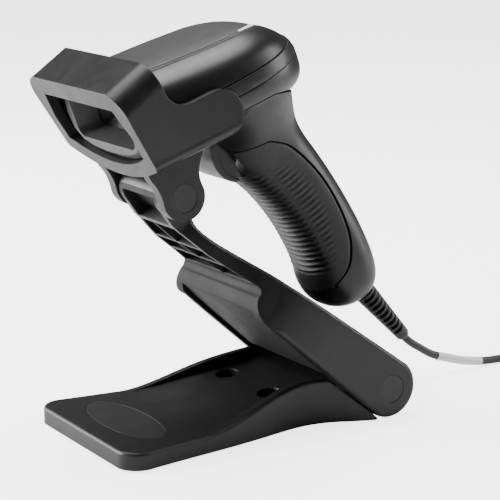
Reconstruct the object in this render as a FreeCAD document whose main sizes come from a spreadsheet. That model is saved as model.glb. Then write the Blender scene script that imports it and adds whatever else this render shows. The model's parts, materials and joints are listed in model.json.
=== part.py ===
"""Handheld barcode scanner resting in a folding hands-free stand.

Millimetres, +Z up, X across the width, the scanner looks towards -Y. The origin is the middle of the
base's footprint, on the desk. Three local frames carry the parts, and each Placement puts one in the world:
  desk frame     the base, with no offset
  arm frame      origin at the lower hinge; y runs back down the arm, z out of its upper side
  scanner frame  origin at the upper hinge; y runs back along the head, z out of its top
"""
import FreeCAD, Part
import math
import os

from FreeCAD import Placement, Rotation, Vector

DIMENSIONS = [
    # the base
    ("base_front", -74.2), ("base_corner", 10.0), ("base_underside", 0.8),
    ("deck_height", 8.5), ("lip_height", 21.0), ("lip_width", 4.5),
    ("web_half", 34.9), ("web_margin", 0.4), ("barrel_radius", 10.4), ("shoulder_end", 53.5),
    ("pocket_width", 55.0), ("pocket_front", -70.0), ("pocket_length", 104.0), ("pocket_top", 6.0),
    ("cover_thickness", 1.5), ("weight_width", 52.0), ("weight_length", 73.0), ("weight_thickness", 3.0),
    ("well_x", 17.3), ("well_y", 10.8), ("well_radius", 5.2), ("well_floor", 4.4), ("desk_hole_radius", 2.2),
    ("boss_radius", 7.0), ("foot_radius", 6.0), ("foot_height", 0.9), ("foot_x", 20.0),
    ("screw_radius", 1.2), ("screw_head_radius", 2.7), ("screw_head_height", 1.0), ("screw_length", 6.0),
    ("badge_half_length", 29.0), ("badge_half_depth", 11.2), ("badge_y", -52.5), ("badge_thickness", 0.7),
    # the lower hinge and the arm
    ("hinge_y", 60.8), ("hinge_z", 14.2), ("cheek_radius", 13.6), ("cheek_outer", 41.9),
    ("cheek_inner", 36.0), ("arm_length", 134.5), ("arm_lean", 44.52), ("arm_skin", 2.6),
    ("lower_pin_radius", 3.0), ("lower_pin_half", 40.2), ("lower_cap_radius", 6.4),
    ("cap_recess", 1.6), ("cap_gap", 0.12), ("running_gap", 0.05), ("washer_thickness", 0.8),
    ("rib_thickness", 0.9), ("first_rib", -98.4), ("rib_pitch", 12.0), ("spine_x", 4.5), ("spine_y", -86.0),
    ("spine_skew", 10.4), ("knuckle_radius", 9.2), ("knuckle_half", 16.8),
    # the upper hinge and the cradle
    ("head_tilt", 20.0), ("upper_pin_radius", 2.5), ("upper_cap_radius", 6.1), ("lug_inner", 17.8),
    ("lug_outer", 23.4), ("lug_radius", 10.0), ("cradle_wall", 3.3), ("rim_depth", 4.5),
    ("cradle_clearance", 0.5),
    # the scanner
    ("casing_wall", 2.4), ("seam_gap", 0.3), ("ridge_height", 39.8), ("upper_seam_height", 33.7),
    ("grip_thickness", 2.0), ("panel_depth", 0.9),
    ("trigger_half", 11.0), ("trigger_gap", 1.2), ("trigger_pin_radius", 1.25), ("board_thickness", 1.6),
    ("nose_height", 39.0), ("cord_radius", 1.9), ("scanner_reach", 130.0), ("boot_root_radius", 5.8),
    ("boot_tip_radius", 3.3), ("boot_length", 40.5), ("boot_inset", 8.0), ("lead_length", 44.0),
    ("cord_start_radius", 43.6),
    ("sleeve_radius", 2.1), ("sleeve_start", 119.6), ("sleeve_length", 28.7),
]

# Base: half width along its length, the rising side lip, and the lower deck between the lips.
BASE_SIDE = [
    (-64.2, 42.4), (-38, 39.1), (-20, 37.0), (3, 33.3), (22, 31.0), (32, 32.6), (45, 38.0), (57, 41.9),
]
LIP_LINE = [(-37, 8.5), (-26.7, 9.2), (-16.7, 11.6), (-6, 14.8), (4.6, 17.9), (14.6, 20.0), (31.8, 21.0)]
DECK_LINE = [(-37, 8.5), (-20, 9.4), (-8, 11.4), (10.8, 14.6), (30, 17.5)]

# Arm, in its own frame: upper and lower edges as (y, z), and half width as (y, x).
ARM_TOP = [(-74, 2.2), (-88, 0.2), (-101, -2.3), (-112, -3.8), (-121, -2.8), (-127, 1.5)]
ARM_PLAN = [
    (-20, 41.9), (-45, 41.2), (-62, 39.6), (-74, 36.6), (-84, 31.0), (-95, 25.8), (-106, 22.6), (-116, 19.6),
]

# Scanner head: (y, half width, bottom, top). Handle: (z, front, back, half width).
NOSE_SECTION = (-14, 30.0, 24.5, 53.2)
HEAD_SECTIONS = [
    (-11.6, 34.0, 21.8, 56.2), (0, 36.0, 20.4, 57.6), (18, 37.0, 19.2, 56.8), (36, 36.6, 18.0, 55.6),
    (50, 34.4, 17.2, 54.4), (61, 30.2, 17.0, 51.6), (69, 24.6, 17.3, 47.2), (74.5, 18.6, 18.6, 42.2),
    (78.2, 12.6, 20.6, 37.8), (80.3, 7.0, 23.4, 34.0), (81.0, 2.6, 26.2, 31.2),
]
HANDLE_SECTIONS = [
    (27, 14, 70.5, 33.2), (20, 19, 71.5, 29.8), (12, 25, 71.4, 25.0), (4, 30, 71.6, 20.8),
    (-5, 33.2, 73.6, 18.4), (-15, 38.6, 77.2, 17.3), (-25, 44.2, 80.4, 17.0), (-35, 48.4, 83.2, 17.0),
    (-45, 51.6, 85.6, 17.2), (-55, 53.8, 87.6, 17.6), (-65, 55.2, 89.0, 18.0), (-74, 54.4, 89.8, 18.2),
    (-82, 55.6, 89.2, 17.4), (-88, 59.2, 86.6, 14.6), (-91.4, 64.0, 82.6, 10.6), (-92.8, 69.0, 78.0, 6.0),
]
# Nose pieces, each lofted between two rounded rectangles: (half width, half height, corner radius, y).
SLEEVE_ENDS = [(26.6, 12.0, 6, -12.4), (24.5, 11.2, 4, -2.0)]
TUNNEL_ENDS = [(25.4, 10.8, 5, -16.0), (21.0, 9.0, 3, -1.0)]
WINDOW_SEAT_ENDS = [(22.6, 10.2, 3, -4.0), (22.6, 10.2, 3, -1.9)]
WINDOW_ENDS = [(22.4, 10.0, 2.9, -3.9), (22.4, 10.0, 2.9, -2.4)]
# Cord on the desk, as (y, z): it leaves the boot, bends down and lies flat as far as the plug.
CORD_LINE = [(101.5, 21.3), (109.8, 15.4), (117.0, 11.2), (126.0, 8.0), (138.0, 4.6), (152.0, 2.4),
             (170.0, 2.0), (196.0, 2.0)]
GRIP_BACK_EDGE = [
    (47, 4), (57.5, -3), (65.4, -14), (71.0, -26), (74.2, -39), (75.1, -52), (73.4, -62), (69, -70), (61, -76),
]
LOWER_SEAM = [(-20, 26.4), (42, 26.4), (56, 24.0), (68, 18.4), (84, 12.0)]
RING_SIDES = 20
RING_STEPS = 1440

doc = FreeCAD.newDocument("BarcodeScanner")
sheet = doc.addObject("Spreadsheet::Sheet", "Sizes")
SIZE = {}
NODES = []


def fill_sheet():
    for row, (alias, value) in enumerate(DIMENSIONS, start=1):
        sheet.set(f"A{row}", alias)
        sheet.set(f"B{row}", str(value))
        sheet.setAlias(f"B{row}", alias)
    doc.recompute()
    SIZE.update({alias: float(sheet.get(alias)) for alias, _ in DIMENSIONS})


# ---------------------------------------------------------------- drawing helpers

def across(points, x=0.0):
    """Points given as (y, z), as vectors at a fixed x."""
    return [Vector(x, y, z) for y, z in points]


def flat(points):
    """Points given as (y, z), as vectors in a sketch's own plane."""
    return [Vector(a, b, 0) for a, b in points]


def lines(points):
    """Straight sketch segments through the points."""
    return [Part.LineSegment(a, b) for a, b in zip(points, points[1:])]


def curve(points):
    """One smooth curve through the points."""
    spline = Part.BSplineCurve()
    spline.interpolate(points)
    return spline


def arc(start, middle, end):
    return Part.Arc(start, middle, end)


def origin_plane(body, role):
    return next(f for f in body.Origin.OriginFeatures if f.Role == role)


def padded(name, geometry, length, plane="YZ_Plane", symmetric=True):
    """A body padded from one sketch. The length is a sheet expression."""
    body = doc.addObject("PartDesign::Body", name)
    sketch = body.newObject("Sketcher::SketchObject", name + "_sketch")
    sketch.AttachmentSupport = (origin_plane(body, plane), [""])
    sketch.MapMode = "FlatFace"
    sketch.addGeometry(geometry)
    pad = body.newObject("PartDesign::Pad", name + "_pad")
    pad.Profile = sketch
    pad.Midplane = symmetric
    pad.setExpression("Length", length)
    doc.recompute()
    return body


def box(name, sizes, corner):
    """A Part::Box whose three sizes are sheet expressions."""
    solid = doc.addObject("Part::Box", name)
    for side, expression in zip(("Length", "Width", "Height"), sizes):
        solid.setExpression(side, expression)
    solid.Placement.Base = Vector(*corner)
    return solid


def cylinder(name, radius, height, base, direction=Vector(0, 0, 1)):
    """A Part::Cylinder whose radius and height are sheet expressions."""
    solid = doc.addObject("Part::Cylinder", name)
    solid.setExpression("Radius", radius)
    solid.setExpression("Height", height)
    solid.Placement = Placement(Vector(*base), Rotation(Vector(0, 0, 1), direction))
    return solid


def axle(name, radius, half, y=0.0, z=0.0):
    """A cylinder along X, centred on the symmetry plane."""
    doc.recompute()
    solid = cylinder(name, radius, f"2 * ({half})", (0, y, z), Vector(1, 0, 0))
    doc.recompute()
    solid.Placement.Base = Vector(-solid.Height.Value / 2, y, z)
    return solid


def shape_feature(name, shape):
    feature = doc.addObject("Part::Feature", name)
    feature.Shape = shape
    return feature


def cut(name, base, tool):
    feature = doc.addObject("Part::Cut", name)
    feature.Base, feature.Tool = base, tool
    return feature


def fuse(name, parts):
    feature = doc.addObject("Part::MultiFuse", name)
    feature.Shapes = parts
    return feature


def common(name, parts):
    feature = doc.addObject("Part::MultiCommon", name)
    feature.Shapes = parts
    return feature


def rounded(name, base, radius, wanted):
    """Part::Fillet on the edges of base that wanted() picks."""
    doc.recompute()
    feature = doc.addObject("Part::Fillet", name)
    feature.Base = base
    feature.Edges = [(i, radius, radius) for i, e in enumerate(base.Shape.Edges, start=1) if wanted(e)]
    return feature


def node(label, feature, placement=None):
    """Registers a finished sub-part under the label that names its file."""
    doc.recompute()
    feature.Label = label
    if placement is not None:
        feature.Placement = placement.multiply(feature.Placement)
    NODES.append(feature)
    return feature


def arm_frame():
    return Placement(Vector(0, SIZE["hinge_y"], SIZE["hinge_z"]), Rotation(Vector(1, 0, 0), -SIZE["arm_lean"]))


def scanner_frame():
    upper_hinge = arm_frame().multVec(Vector(0, -SIZE["arm_length"], 0))
    return Placement(upper_hinge, Rotation(Vector(1, 0, 0), SIZE["head_tilt"]))


# ---------------------------------------------------------------- the base

def base_outline(inset=0.0):
    """The waisted footprint: straight front, round front corners, curved sides, straight rear."""
    front, corner = SIZE["base_front"] + inset, SIZE["base_corner"] - inset / 2
    side = [(y, x - inset) for y, x in BASE_SIDE]
    y_side, x_side = side[0]
    x_front = x_side - corner
    bend = Vector(x_front + 0.72 * corner, front + 0.28 * corner, 0)
    right = curve([Vector(x, y, 0) for y, x in side])
    left = curve([Vector(-x, y, 0) for y, x in side])
    rear_y, rear_x = side[-1]
    return [
        Part.LineSegment(Vector(-x_front, front, 0), Vector(x_front, front, 0)),
        arc(Vector(x_front, front, 0), bend, Vector(x_side, y_side, 0)),
        right,
        Part.LineSegment(Vector(rear_x, rear_y, 0), Vector(-rear_x, rear_y, 0)),
        left,
        arc(Vector(-x_side, y_side, 0), Vector(-bend.x, bend.y, 0), Vector(-x_front, front, 0)),
    ]


def base_blank():
    """Footprint cut to the side view: flat front, rising lips, shoulders sloped under the arm's edge."""
    foot, front = SIZE["base_underside"], SIZE["base_front"] - 1
    lip_end, shoulder = LIP_LINE[-1], SIZE["shoulder_end"]
    outline = [curve(flat(LIP_LINE))] + lines(flat([
        lip_end, (shoulder, 2.0), (shoulder, foot), (front, foot), (front, SIZE["deck_height"]), LIP_LINE[0],
    ]))
    plan = padded("base_plan", base_outline(), "Sizes.lip_height + 4", "XY_Plane", symmetric=False)
    side_view = padded("base_side_view", outline, "2 * Sizes.cheek_outer + 10")
    return rounded("base_blank", common("base_block", [plan, side_view]), 1.6, top_rim_edge)


def top_rim_edge(edge):
    """An edge round the top of the base's outline, ahead of the arm."""
    bounds = edge.BoundBox
    spans_middle = abs(bounds.XMin + bounds.XMax) < 0.1
    at_top = bounds.ZMin > SIZE["deck_height"] - 0.1 and bounds.YMax < LIP_LINE[-1][0] + 0.1
    crosses_deck = spans_middle and bounds.YMax > SIZE["base_front"] + 1
    return at_top and bounds.DiagonalLength > 8 and not crosses_deck


def deck_space():
    """The space above the deck, between the side lips."""
    rear = flat([DECK_LINE[-1], (40, 18.5), (40, 40), (-37, 40), DECK_LINE[0]])
    outline = [curve(flat(DECK_LINE))] + lines(rear)
    side_view = padded("deck_side_view", outline, "2 * Sizes.cheek_outer")
    plan = padded("deck_plan", base_outline(SIZE["lip_width"]), "40 mm", "XY_Plane", symmetric=False)
    return common("deck_space", [plan, side_view])


def hinge_web():
    """The web from the deck to the hinge barrel, kept inside the base's waisted sides."""
    y, z, radius = SIZE["hinge_y"], SIZE["hinge_z"], SIZE["barrel_radius"]
    near, reach = y - 3, radius - 0.6
    outline = lines(flat([
        (28, 2.4), (28, 17.2), (40, 18.6), (48, 20.6), (near, z + reach), (y, z), (near, z - reach),
        (50, 2.4), (28, 2.4),
    ]))
    side_view = padded("web_side_view", outline, "2 * Sizes.web_half")
    plan = padded("web_plan", base_outline(SIZE["web_margin"]), "40 mm", "XY_Plane", symmetric=False)
    web = common("web", [side_view, plan])
    barrel = axle("barrel", "Sizes.barrel_radius", "Sizes.web_half", y, z)
    return fuse("hinge_web", [web, barrel])


def four(name, radius, height, places, z):
    """Upright cylinders at a list of (x, y) places, as one feature."""
    return fuse(name, [cylinder(f"{name}_{i}", radius, height, (x, y, z)) for i, (x, y) in enumerate(places)])


def mirrored_places(*places):
    return [(side * x, y) for x, y in places for side in (-1, 1)]


def screw_places():
    return mirrored_places((10, -64), (10, 28))


def well_places():
    return mirrored_places((SIZE["well_x"], SIZE["well_y"]))


def base_shell():
    foot = SIZE["base_underside"]
    body = cut("base_scooped", base_blank(), deck_space())
    pocket = box("base_pocket", ("Sizes.pocket_width", "Sizes.pocket_length", "Sizes.pocket_top"),
                 (-SIZE["pocket_width"] / 2, SIZE["pocket_front"], 0))
    hollow = cut("base_hollow", body, pocket)
    posts = four("screw_posts", "Sizes.screw_head_radius + 0.8", "4.2 mm", screw_places(), 2.6)
    bosses = four("well_bosses", "Sizes.boss_radius", "6 mm", well_places(), foot + 0.1)
    whole = fuse("base_whole", [hollow, posts, bosses, hinge_web()])
    screw_bore = "Sizes.screw_radius + Sizes.running_gap"
    screw_holes = four("screw_holes", screw_bore, "6.4 mm", screw_places(), foot)
    wells = four("wells", "Sizes.well_radius", "20 mm", well_places(), SIZE["well_floor"])
    desk_holes = four("desk_holes", "Sizes.desk_hole_radius", "20 mm", well_places(), 0)
    bore = axle("barrel_bore", "Sizes.lower_pin_radius + Sizes.running_gap", "Sizes.web_half + 1",
                SIZE["hinge_y"], SIZE["hinge_z"])
    badge_seat = badge_solid("badge_seat", 0.15)
    tools = fuse("base_tools", [screw_holes, wells, desk_holes, bore, badge_seat])
    node("base_shell", cut("base_shell", whole, tools))


def badge_solid(name, margin):
    """The oval badge plate in the front of the deck, or its seat when a margin is given."""
    a, b, y0 = SIZE["badge_half_length"] + margin, SIZE["badge_half_depth"] + margin, SIZE["badge_y"]
    outline = Part.Ellipse(Vector(0, y0, 0), a, b)
    plate = padded(name, [outline], "Sizes.badge_thickness", "XY_Plane", symmetric=False)
    plate.Placement.Base.z = SIZE["deck_height"] - SIZE["badge_thickness"]
    return plate


def base_details():
    node("badge_plate", badge_solid("badge_plate", 0.0))
    cover_z = SIZE["foot_height"]
    cover_size = ("Sizes.pocket_width - 0.4", "Sizes.pocket_length - 0.4", "Sizes.cover_thickness")
    cover_corner = (-SIZE["pocket_width"] / 2 + 0.2, SIZE["pocket_front"] + 0.2, cover_z)
    cover = box("bottom_cover_blank", cover_size, cover_corner)
    counterbores = four("cover_counterbores", "Sizes.screw_head_radius + 0.1", "Sizes.screw_head_height",
                        screw_places(), cover_z)
    clearances = four("cover_clearances", "Sizes.screw_radius + 0.15", "10 mm", screw_places(), 0)
    boss_holes = four("cover_boss_holes", "Sizes.boss_radius + 0.2", "10 mm", well_places(), 0)
    cover_tools = fuse("cover_tools", [counterbores, clearances, boss_holes])
    node("bottom_cover", cut("bottom_cover", cover, cover_tools))
    weight = box("weight_blank", ("Sizes.weight_width", "Sizes.weight_length", "Sizes.weight_thickness"),
                 (-SIZE["weight_width"] / 2, -54, cover_z + SIZE["cover_thickness"] + 0.1))
    weight_holes = four("weight_holes", "Sizes.boss_radius + 0.5", "10 mm", well_places(), 0)
    node("base_weight", cut("base_weight", weight, weight_holes))
    heads = four("cover_screw_heads", "Sizes.screw_head_radius", "Sizes.screw_head_height",
                 screw_places(), cover_z)
    shanks = four("cover_screw_shanks", "Sizes.screw_radius", "Sizes.screw_length", screw_places(), cover_z)
    node("cover_screws", fuse("cover_screws", [heads, shanks]))
    places = mirrored_places((SIZE["foot_x"], -58), (SIZE["foot_x"], 26))
    corner_feet = four("corner_feet", "Sizes.foot_radius", "Sizes.foot_height", places, 0)
    middle_foot = cylinder("middle_foot", "Sizes.foot_radius", "Sizes.foot_height", (0, 0, 0))
    node("rubber_feet", fuse("rubber_feet", [corner_feet, middle_foot]))


# ---------------------------------------------------------------- the arm

def arm_side_view():
    """Round cheeks at the hinge, a straight upper edge, a deep lower half and a thin upper half."""
    radius = SIZE["cheek_radius"]
    top = flat([(0, radius)] + ARM_TOP[:1])
    return [
        arc(Vector(0, -radius, 0), Vector(radius, 0, 0), Vector(0, radius, 0)),
        *lines(top),
        curve(flat(ARM_TOP)),
        *lines(flat([ARM_TOP[-1], (-134.5, 3), (-134.5, -9.2), (-127, -10.6), (-108, -10.1), (-95.6, -8.4),
                     (-83.4, -6.6)])),
        arc(Vector(-83.4, -6.6, 0), Vector(-81.4, -8.2, 0), Vector(-81.0, -10.6, 0)),
        arc(Vector(-81.0, -10.6, 0), Vector(-77.6, -15.9, 0), Vector(-69, -17.6, 0)),
        *lines(flat([(-69, -17.6), (0, -radius)])),
    ]


def arm_plan(inset=0.0):
    """Half width of the arm: straight past the hinge, then waisted into the knuckle."""
    side = [(y, x - inset) for y, x in ARM_PLAN]
    rear = SIZE["cheek_radius"] + 1
    y_end, neck = -122.5, SIZE["knuckle_half"]
    first_y, first_x = side[0]
    curve_points = side + [(y_end, neck - min(inset, 3))]
    tip = [(y_end, neck - min(inset, 3)), (-145, neck - min(inset, 3))]

    def edge(sign):
        return [
            Part.LineSegment(Vector(sign * first_x, rear, 0), Vector(sign * first_x, first_y, 0)),
            curve([Vector(sign * x, y, 0) for y, x in curve_points]),
            *lines([Vector(sign * x, y, 0) for y, x in tip]),
        ]

    caps = [
        Part.LineSegment(Vector(-first_x, rear, 0), Vector(first_x, rear, 0)),
        Part.LineSegment(Vector(-tip[-1][1], -145, 0), Vector(tip[-1][1], -145, 0)),
    ]
    return edge(1) + edge(-1) + caps


def plan_prism(name, inset=0.0):
    """The arm's plan view as a tall prism, centred on the arm's axis."""
    return padded(name, arm_plan(inset), "80 mm", "XY_Plane")


def channel_space():
    """The open inside of the arm's deep half, with room for the base's hinge barrel."""
    skin = SIZE["arm_skin"]
    inner = SIZE["cheek_radius"] - skin
    outline = lines(flat([
        (0, inner), (-72, 2.4 - skin), (-77.5, -1.4), (-77.5, -30), (20, -30), (20, 0), (0, 0), (0, inner),
    ]))
    side_view = padded("channel_side_view", outline, "2 * Sizes.cheek_outer")
    barrel_space = axle("barrel_space", "Sizes.cheek_radius - Sizes.arm_skin", "Sizes.cheek_inner")
    cheek = SIZE["cheek_outer"] - SIZE["cheek_inner"]
    channel = common("channel", [side_view, plan_prism("channel_plan", cheek)])
    return fuse("channel_space", [channel, barrel_space])


def lattice_pockets():
    """The pockets between the stiffening ribs on the front of the arm's thin half."""
    outline = [curve(flat([(y, z - 2.2) for y, z in ARM_TOP[1:-1]]))] + lines(
        flat([(-121, -5.0), (-124, -6.2), (-124, -30), (-84.6, -30), (-84.6, -2.0), (-88, -2.0)]))
    side_view = padded("lattice_side_view", outline, "2 * Sizes.cheek_outer")
    space = common("lattice_space", [side_view, plan_prism("lattice_plan", 2.4)])
    return cut("lattice_pockets", space, fuse("lattice_ribs", [spine_rib(), *cross_ribs()]))


def cross_ribs():
    """Ribs straight across the arm, one pitch apart."""
    places = [SIZE["first_rib"] - row * SIZE["rib_pitch"] for row in range(2)]
    return [box(f"cross_rib_{row}", ("70 mm", "Sizes.rib_thickness", "40 mm"), (-35, y, -34))
            for row, y in enumerate(places)]


def spine_rib():
    """The long rib, a little askew to the arm's own direction."""
    rib = box("spine_rib", ("Sizes.rib_thickness", "60 mm", "40 mm"), (0, 0, 0))
    skew = Rotation(Vector(0, 0, 1), 180 - SIZE["spine_skew"])
    rib.Placement = Placement(Vector(SIZE["spine_x"], SIZE["spine_y"] + 4, -34), skew)
    return rib


def arm_shell():
    length = SIZE["arm_length"]
    side_view = padded("arm_side_view", arm_side_view(), "2 * Sizes.cheek_outer + 10")
    blank = common("arm_blank", [side_view, plan_prism("arm_plan")])
    softened = rounded("arm_softened", blank, 2.4, cheek_edge)
    knuckle = axle("knuckle", "Sizes.knuckle_radius", "Sizes.knuckle_half", -length)
    whole = fuse("arm_whole", [softened, knuckle])
    knuckle_pocket = box("knuckle_pocket", ("27 mm", "14.5 mm", "9 mm"), (-13.5, -140.5, -13.4))
    tools = [
        channel_space(), lattice_pockets(), knuckle_pocket,
        axle("knuckle_bore", "Sizes.upper_pin_radius + Sizes.running_gap", "Sizes.knuckle_half + 1", -length),
        axle("cheek_bore", "Sizes.lower_pin_radius", "Sizes.cheek_outer + 1"),
        *cap_recesses("lower_cap_recess", "Sizes.lower_cap_radius + Sizes.cap_gap", "cheek_outer"),
    ]
    node("arm_shell", cut("arm_shell", whole, fuse("arm_tools", tools)), arm_frame())


def cheek_edge(edge):
    """A long outer edge of the cheeks, where the side faces meet the upper and lower edges."""
    bounds = edge.BoundBox
    on_one_side = bounds.XMin * bounds.XMax > 0 and min(abs(bounds.XMin), abs(bounds.XMax)) > 33
    return on_one_side and bounds.YMin > -84 and bounds.DiagonalLength > 12


def cap_recesses(name, radius, outer):
    """Shallow round seats for the hinge caps, one in each outer face."""
    face = SIZE[outer] - SIZE["cap_recess"]
    depth = "Sizes.cap_recess + 1"
    return [cylinder(f"{name}_{side}", radius, depth, (side * face, 0, 0), Vector(side, 0, 0))
            for side in (-1, 1)]


def hinge_caps(label, radius, outer, placement):
    """A pair of round caps that close the hinge's ends."""
    face = SIZE[outer] - SIZE["cap_recess"] + 0.02
    depth = "Sizes.cap_recess - 0.1"
    caps = [cylinder(f"{label}_{side}", radius, depth, (side * face, 0, 0), Vector(side, 0, 0))
            for side in (-1, 1)]
    node(label, fuse(label, caps), placement)


def washers(label, bore, outside, inner_face, placement):
    """A pair of thin friction washers beside the fixed barrel."""
    rings = []
    for side in (-1, 1):
        start = (side * (SIZE[inner_face] - SIZE["washer_thickness"] - 0.08), 0, 0)
        ring = cylinder(f"{label}_ring_{side}", outside, "Sizes.washer_thickness", start, Vector(side, 0, 0))
        hole = cylinder(f"{label}_hole_{side}", bore, "Sizes.washer_thickness", start, Vector(side, 0, 0))
        rings.append(cut(f"{label}_{side}", ring, hole))
    node(label, fuse(label, rings), placement)


def arm_details():
    cover_line = [(-24, -13.2), (-76.8, -15.8), (-76.8, -13.8), (-24, -11.2), (-24, -13.2)]
    side_view = padded("arm_cover_side_view", lines(flat(cover_line)), "2 * Sizes.cheek_outer")
    plan = plan_prism("arm_cover_plan", SIZE["cheek_outer"] - SIZE["cheek_inner"] + 0.2)
    node("arm_cover", common("arm_cover", [side_view, plan]), arm_frame())
    node("lower_pin", axle("lower_pin", "Sizes.lower_pin_radius", "Sizes.lower_pin_half"), arm_frame())
    hinge_caps("lower_hinge_caps", "Sizes.lower_cap_radius", "cheek_outer", arm_frame())
    washers("lower_washers", "Sizes.lower_pin_radius + 0.1", "9 mm", "cheek_inner", arm_frame())


# ---------------------------------------------------------------- the cradle

def mouth_point(x, down, setback=0.0):
    """A point on the cradle's tilted front: x across, down from the top edge, set back behind the face."""
    top = Vector(0, -22.8, 58.8)
    slope = Vector(0, 9.6, -45.1).normalize()
    inward = Vector(0, 45.1, 9.6).normalize()
    return top + slope * down + inward * setback + Vector(x, 0, 0)


def rear_point(x, height):
    """A point on the flat rear end of the cradle's blank."""
    return Vector(x, 34.0, height)


def cradle_ring(place, top, corner, side, low, bottom, half_top, half_max, half_low):
    """Closed outline of the cradle: flat top, round upper corners, straight sides, bowed bottom."""
    def pair(x, drop):
        return place(x, drop), place(-x, drop)

    top_right, top_left = pair(half_top, top)
    bend_right, bend_left = pair(half_top + 0.70 * (half_max - half_top), top + 0.26 * (corner - top))
    side_right, side_left = pair(half_max, corner)
    low_right, low_left = pair(half_low, side)
    foot_right, foot_left = pair(half_low - 3.2, low)
    heel_right, heel_left = pair(half_low - 0.8, side + 0.72 * (low - side))
    edges = [
        Part.LineSegment(top_left, top_right), arc(top_right, bend_right, side_right),
        Part.LineSegment(side_right, low_right), arc(low_right, heel_right, foot_right),
        arc(foot_right, place(0, bottom), foot_left),
        arc(foot_left, heel_left, low_left), Part.LineSegment(low_left, side_left),
        arc(side_left, bend_left, top_left),
    ]
    return Part.Wire([e.toShape() for e in edges])


def cradle_blank(wall, setback):
    """The hood's outer form, or its inside when a wall thickness is taken off."""
    half_top, half_max = 31.5 - wall / 2, 41.0 - wall
    front = cradle_ring(lambda x, d: mouth_point(x, d, setback), wall, 11.5, 34.0, 38.6 - wall, 46.0 - wall,
                        half_top, half_max, 39.4 - wall)
    rear = cradle_ring(rear_point, 74.6 - wall, 62.0, 25.0, 20.4 + wall, 13.6 + wall,
                       half_top, half_max, 40.4 - wall)
    return Part.makeLoft([front, rear], True, True)


def mouth_opening():
    """The window opening in the front rim, as a prism square to the face."""
    rim = [(30.0, 8.5), (33.8, 21.0), (32.6, 32.4)]
    right = [mouth_point(x, d, -3) for x, d in rim]
    left = [mouth_point(-x, d, -3) for x, d in rim]
    edges = [Part.LineSegment(left[0], right[0])]
    edges += lines(right) + [arc(right[-1], mouth_point(0, 39.8, -3), left[-1])] + lines(left[::-1])
    face = Part.Face(Part.Wire([e.toShape() for e in edges]))
    return face.extrude(mouth_point(0, 0, 9) - mouth_point(0, 0, 0))


def cradle_side_view():
    """The hood seen from the side: tilted face, flared top, S-shaped rear edge and rounded side wings."""
    face_top, face_foot = mouth_point(0, -2), mouth_point(0, 47)
    return [
        *lines(flat([(face_top.y - 4, face_top.z), (-9.0, 70), (-3.6, 64.2), (-1.6, 53.0)])),
        arc(Vector(-1.6, 53.0, 0), Vector(1.4, 45.2, 0), Vector(9.0, 42.2, 0)),
        *lines(flat([(9.0, 42.2), (19.4, 42.2)])),
        arc(Vector(19.4, 42.2, 0), Vector(30.4, 31.2, 0), Vector(19.4, 20.4, 0)),
        *lines(flat([(19.4, 20.4), (15.0, 12.0), (face_foot.y + 2, 12.0), (face_foot.y - 6, 12.0),
                     (face_top.y - 4, face_top.z)])),
    ]


def lug_outline():
    """One hinge lug: round end about the hinge, flanks flaring into the hood."""
    radius = SIZE["lug_radius"]
    return [
        arc(Vector(-9.8, 2.0, 0), Vector(0, -radius, 0), Vector(9.8, 2.0, 0)),
        arc(Vector(9.8, 2.0, 0), Vector(10.8, 8.6, 0), Vector(15.0, 14.2, 0)),
        *lines(flat([(15.0, 14.2), (15.0, 19.5), (-13.0, 19.5), (-11.6, 13.0)])),
        arc(Vector(-11.6, 13.0, 0), Vector(-10.0, 7.4, 0), Vector(-9.8, 2.0, 0)),
    ]


def lugs():
    pair = padded("lug_side_view", lug_outline(), "2 * Sizes.lug_outer")
    between = box("lug_gap", ("2 * Sizes.lug_inner", "60 mm", "40 mm"), (-SIZE["lug_inner"], -30, -20))
    return cut("lugs", pair, between)


def scanner_room():
    """The scanner's own form grown by a clearance, so that it lies in the hood without touching."""
    grown = -SIZE["cradle_clearance"]
    front_sections = [NOSE_SECTION] + HEAD_SECTIONS[:5]
    return [
        facet_loft("head_room", [head_ring(section, grown) for section in front_sections]),
        facet_loft("handle_room", [handle_ring(section, grown) for section in HANDLE_SECTIONS[:3]]),
    ]


def cradle():
    outer = shape_feature("hood_outer", cradle_blank(0.0, 0.0))
    side_view = padded("hood_side_view", cradle_side_view(), "2 * Sizes.cheek_outer + 10")
    hood = common("hood", [outer, side_view])
    whole = fuse("cradle_whole", [hood, lugs()])
    tools = [
        shape_feature("hood_space", cradle_blank(SIZE["cradle_wall"], SIZE["rim_depth"])),
        shape_feature("mouth_opening", mouth_opening()),
        *scanner_room(),
        axle("lug_bore", "Sizes.upper_pin_radius", "Sizes.lug_outer + 1"),
        *cap_recesses("upper_cap_recess", "Sizes.upper_cap_radius + Sizes.cap_gap", "lug_outer"),
    ]
    node("cradle", cut("cradle", whole, fuse("cradle_tools", tools)), scanner_frame())
    pin = axle("upper_pin", "Sizes.upper_pin_radius", "Sizes.lug_outer - Sizes.cap_recess - 0.1")
    node("upper_pin", pin, scanner_frame())
    hinge_caps("upper_hinge_caps", "Sizes.upper_cap_radius", "lug_outer", scanner_frame())
    washers("upper_washers", "Sizes.upper_pin_radius + 0.1", "7 mm", "lug_inner", scanner_frame())


# ---------------------------------------------------------------- the scanner's casing

def ring_points(half_x, half_other, power):
    """Corners of a squared oval, one for each of RING_SIDES equal steps along its edge."""
    dense = []
    for step in range(RING_STEPS):
        angle = 2 * math.pi * step / RING_STEPS - math.pi / 2
        cosine, sine = math.cos(angle), math.sin(angle)
        dense.append((math.copysign(abs(cosine) ** (2 / power), cosine) * half_x,
                      math.copysign(abs(sine) ** (2 / power), sine) * half_other))
    lengths = [0.0]
    for (x0, y0), (x1, y1) in zip(dense, dense[1:] + dense[:1]):
        lengths.append(lengths[-1] + math.hypot(x1 - x0, y1 - y0))
    targets = [lengths[-1] * k / RING_SIDES for k in range(RING_SIDES)]
    return [dense[max(i for i in range(RING_STEPS) if lengths[i] <= target + 1e-9)] for target in targets]


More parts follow.
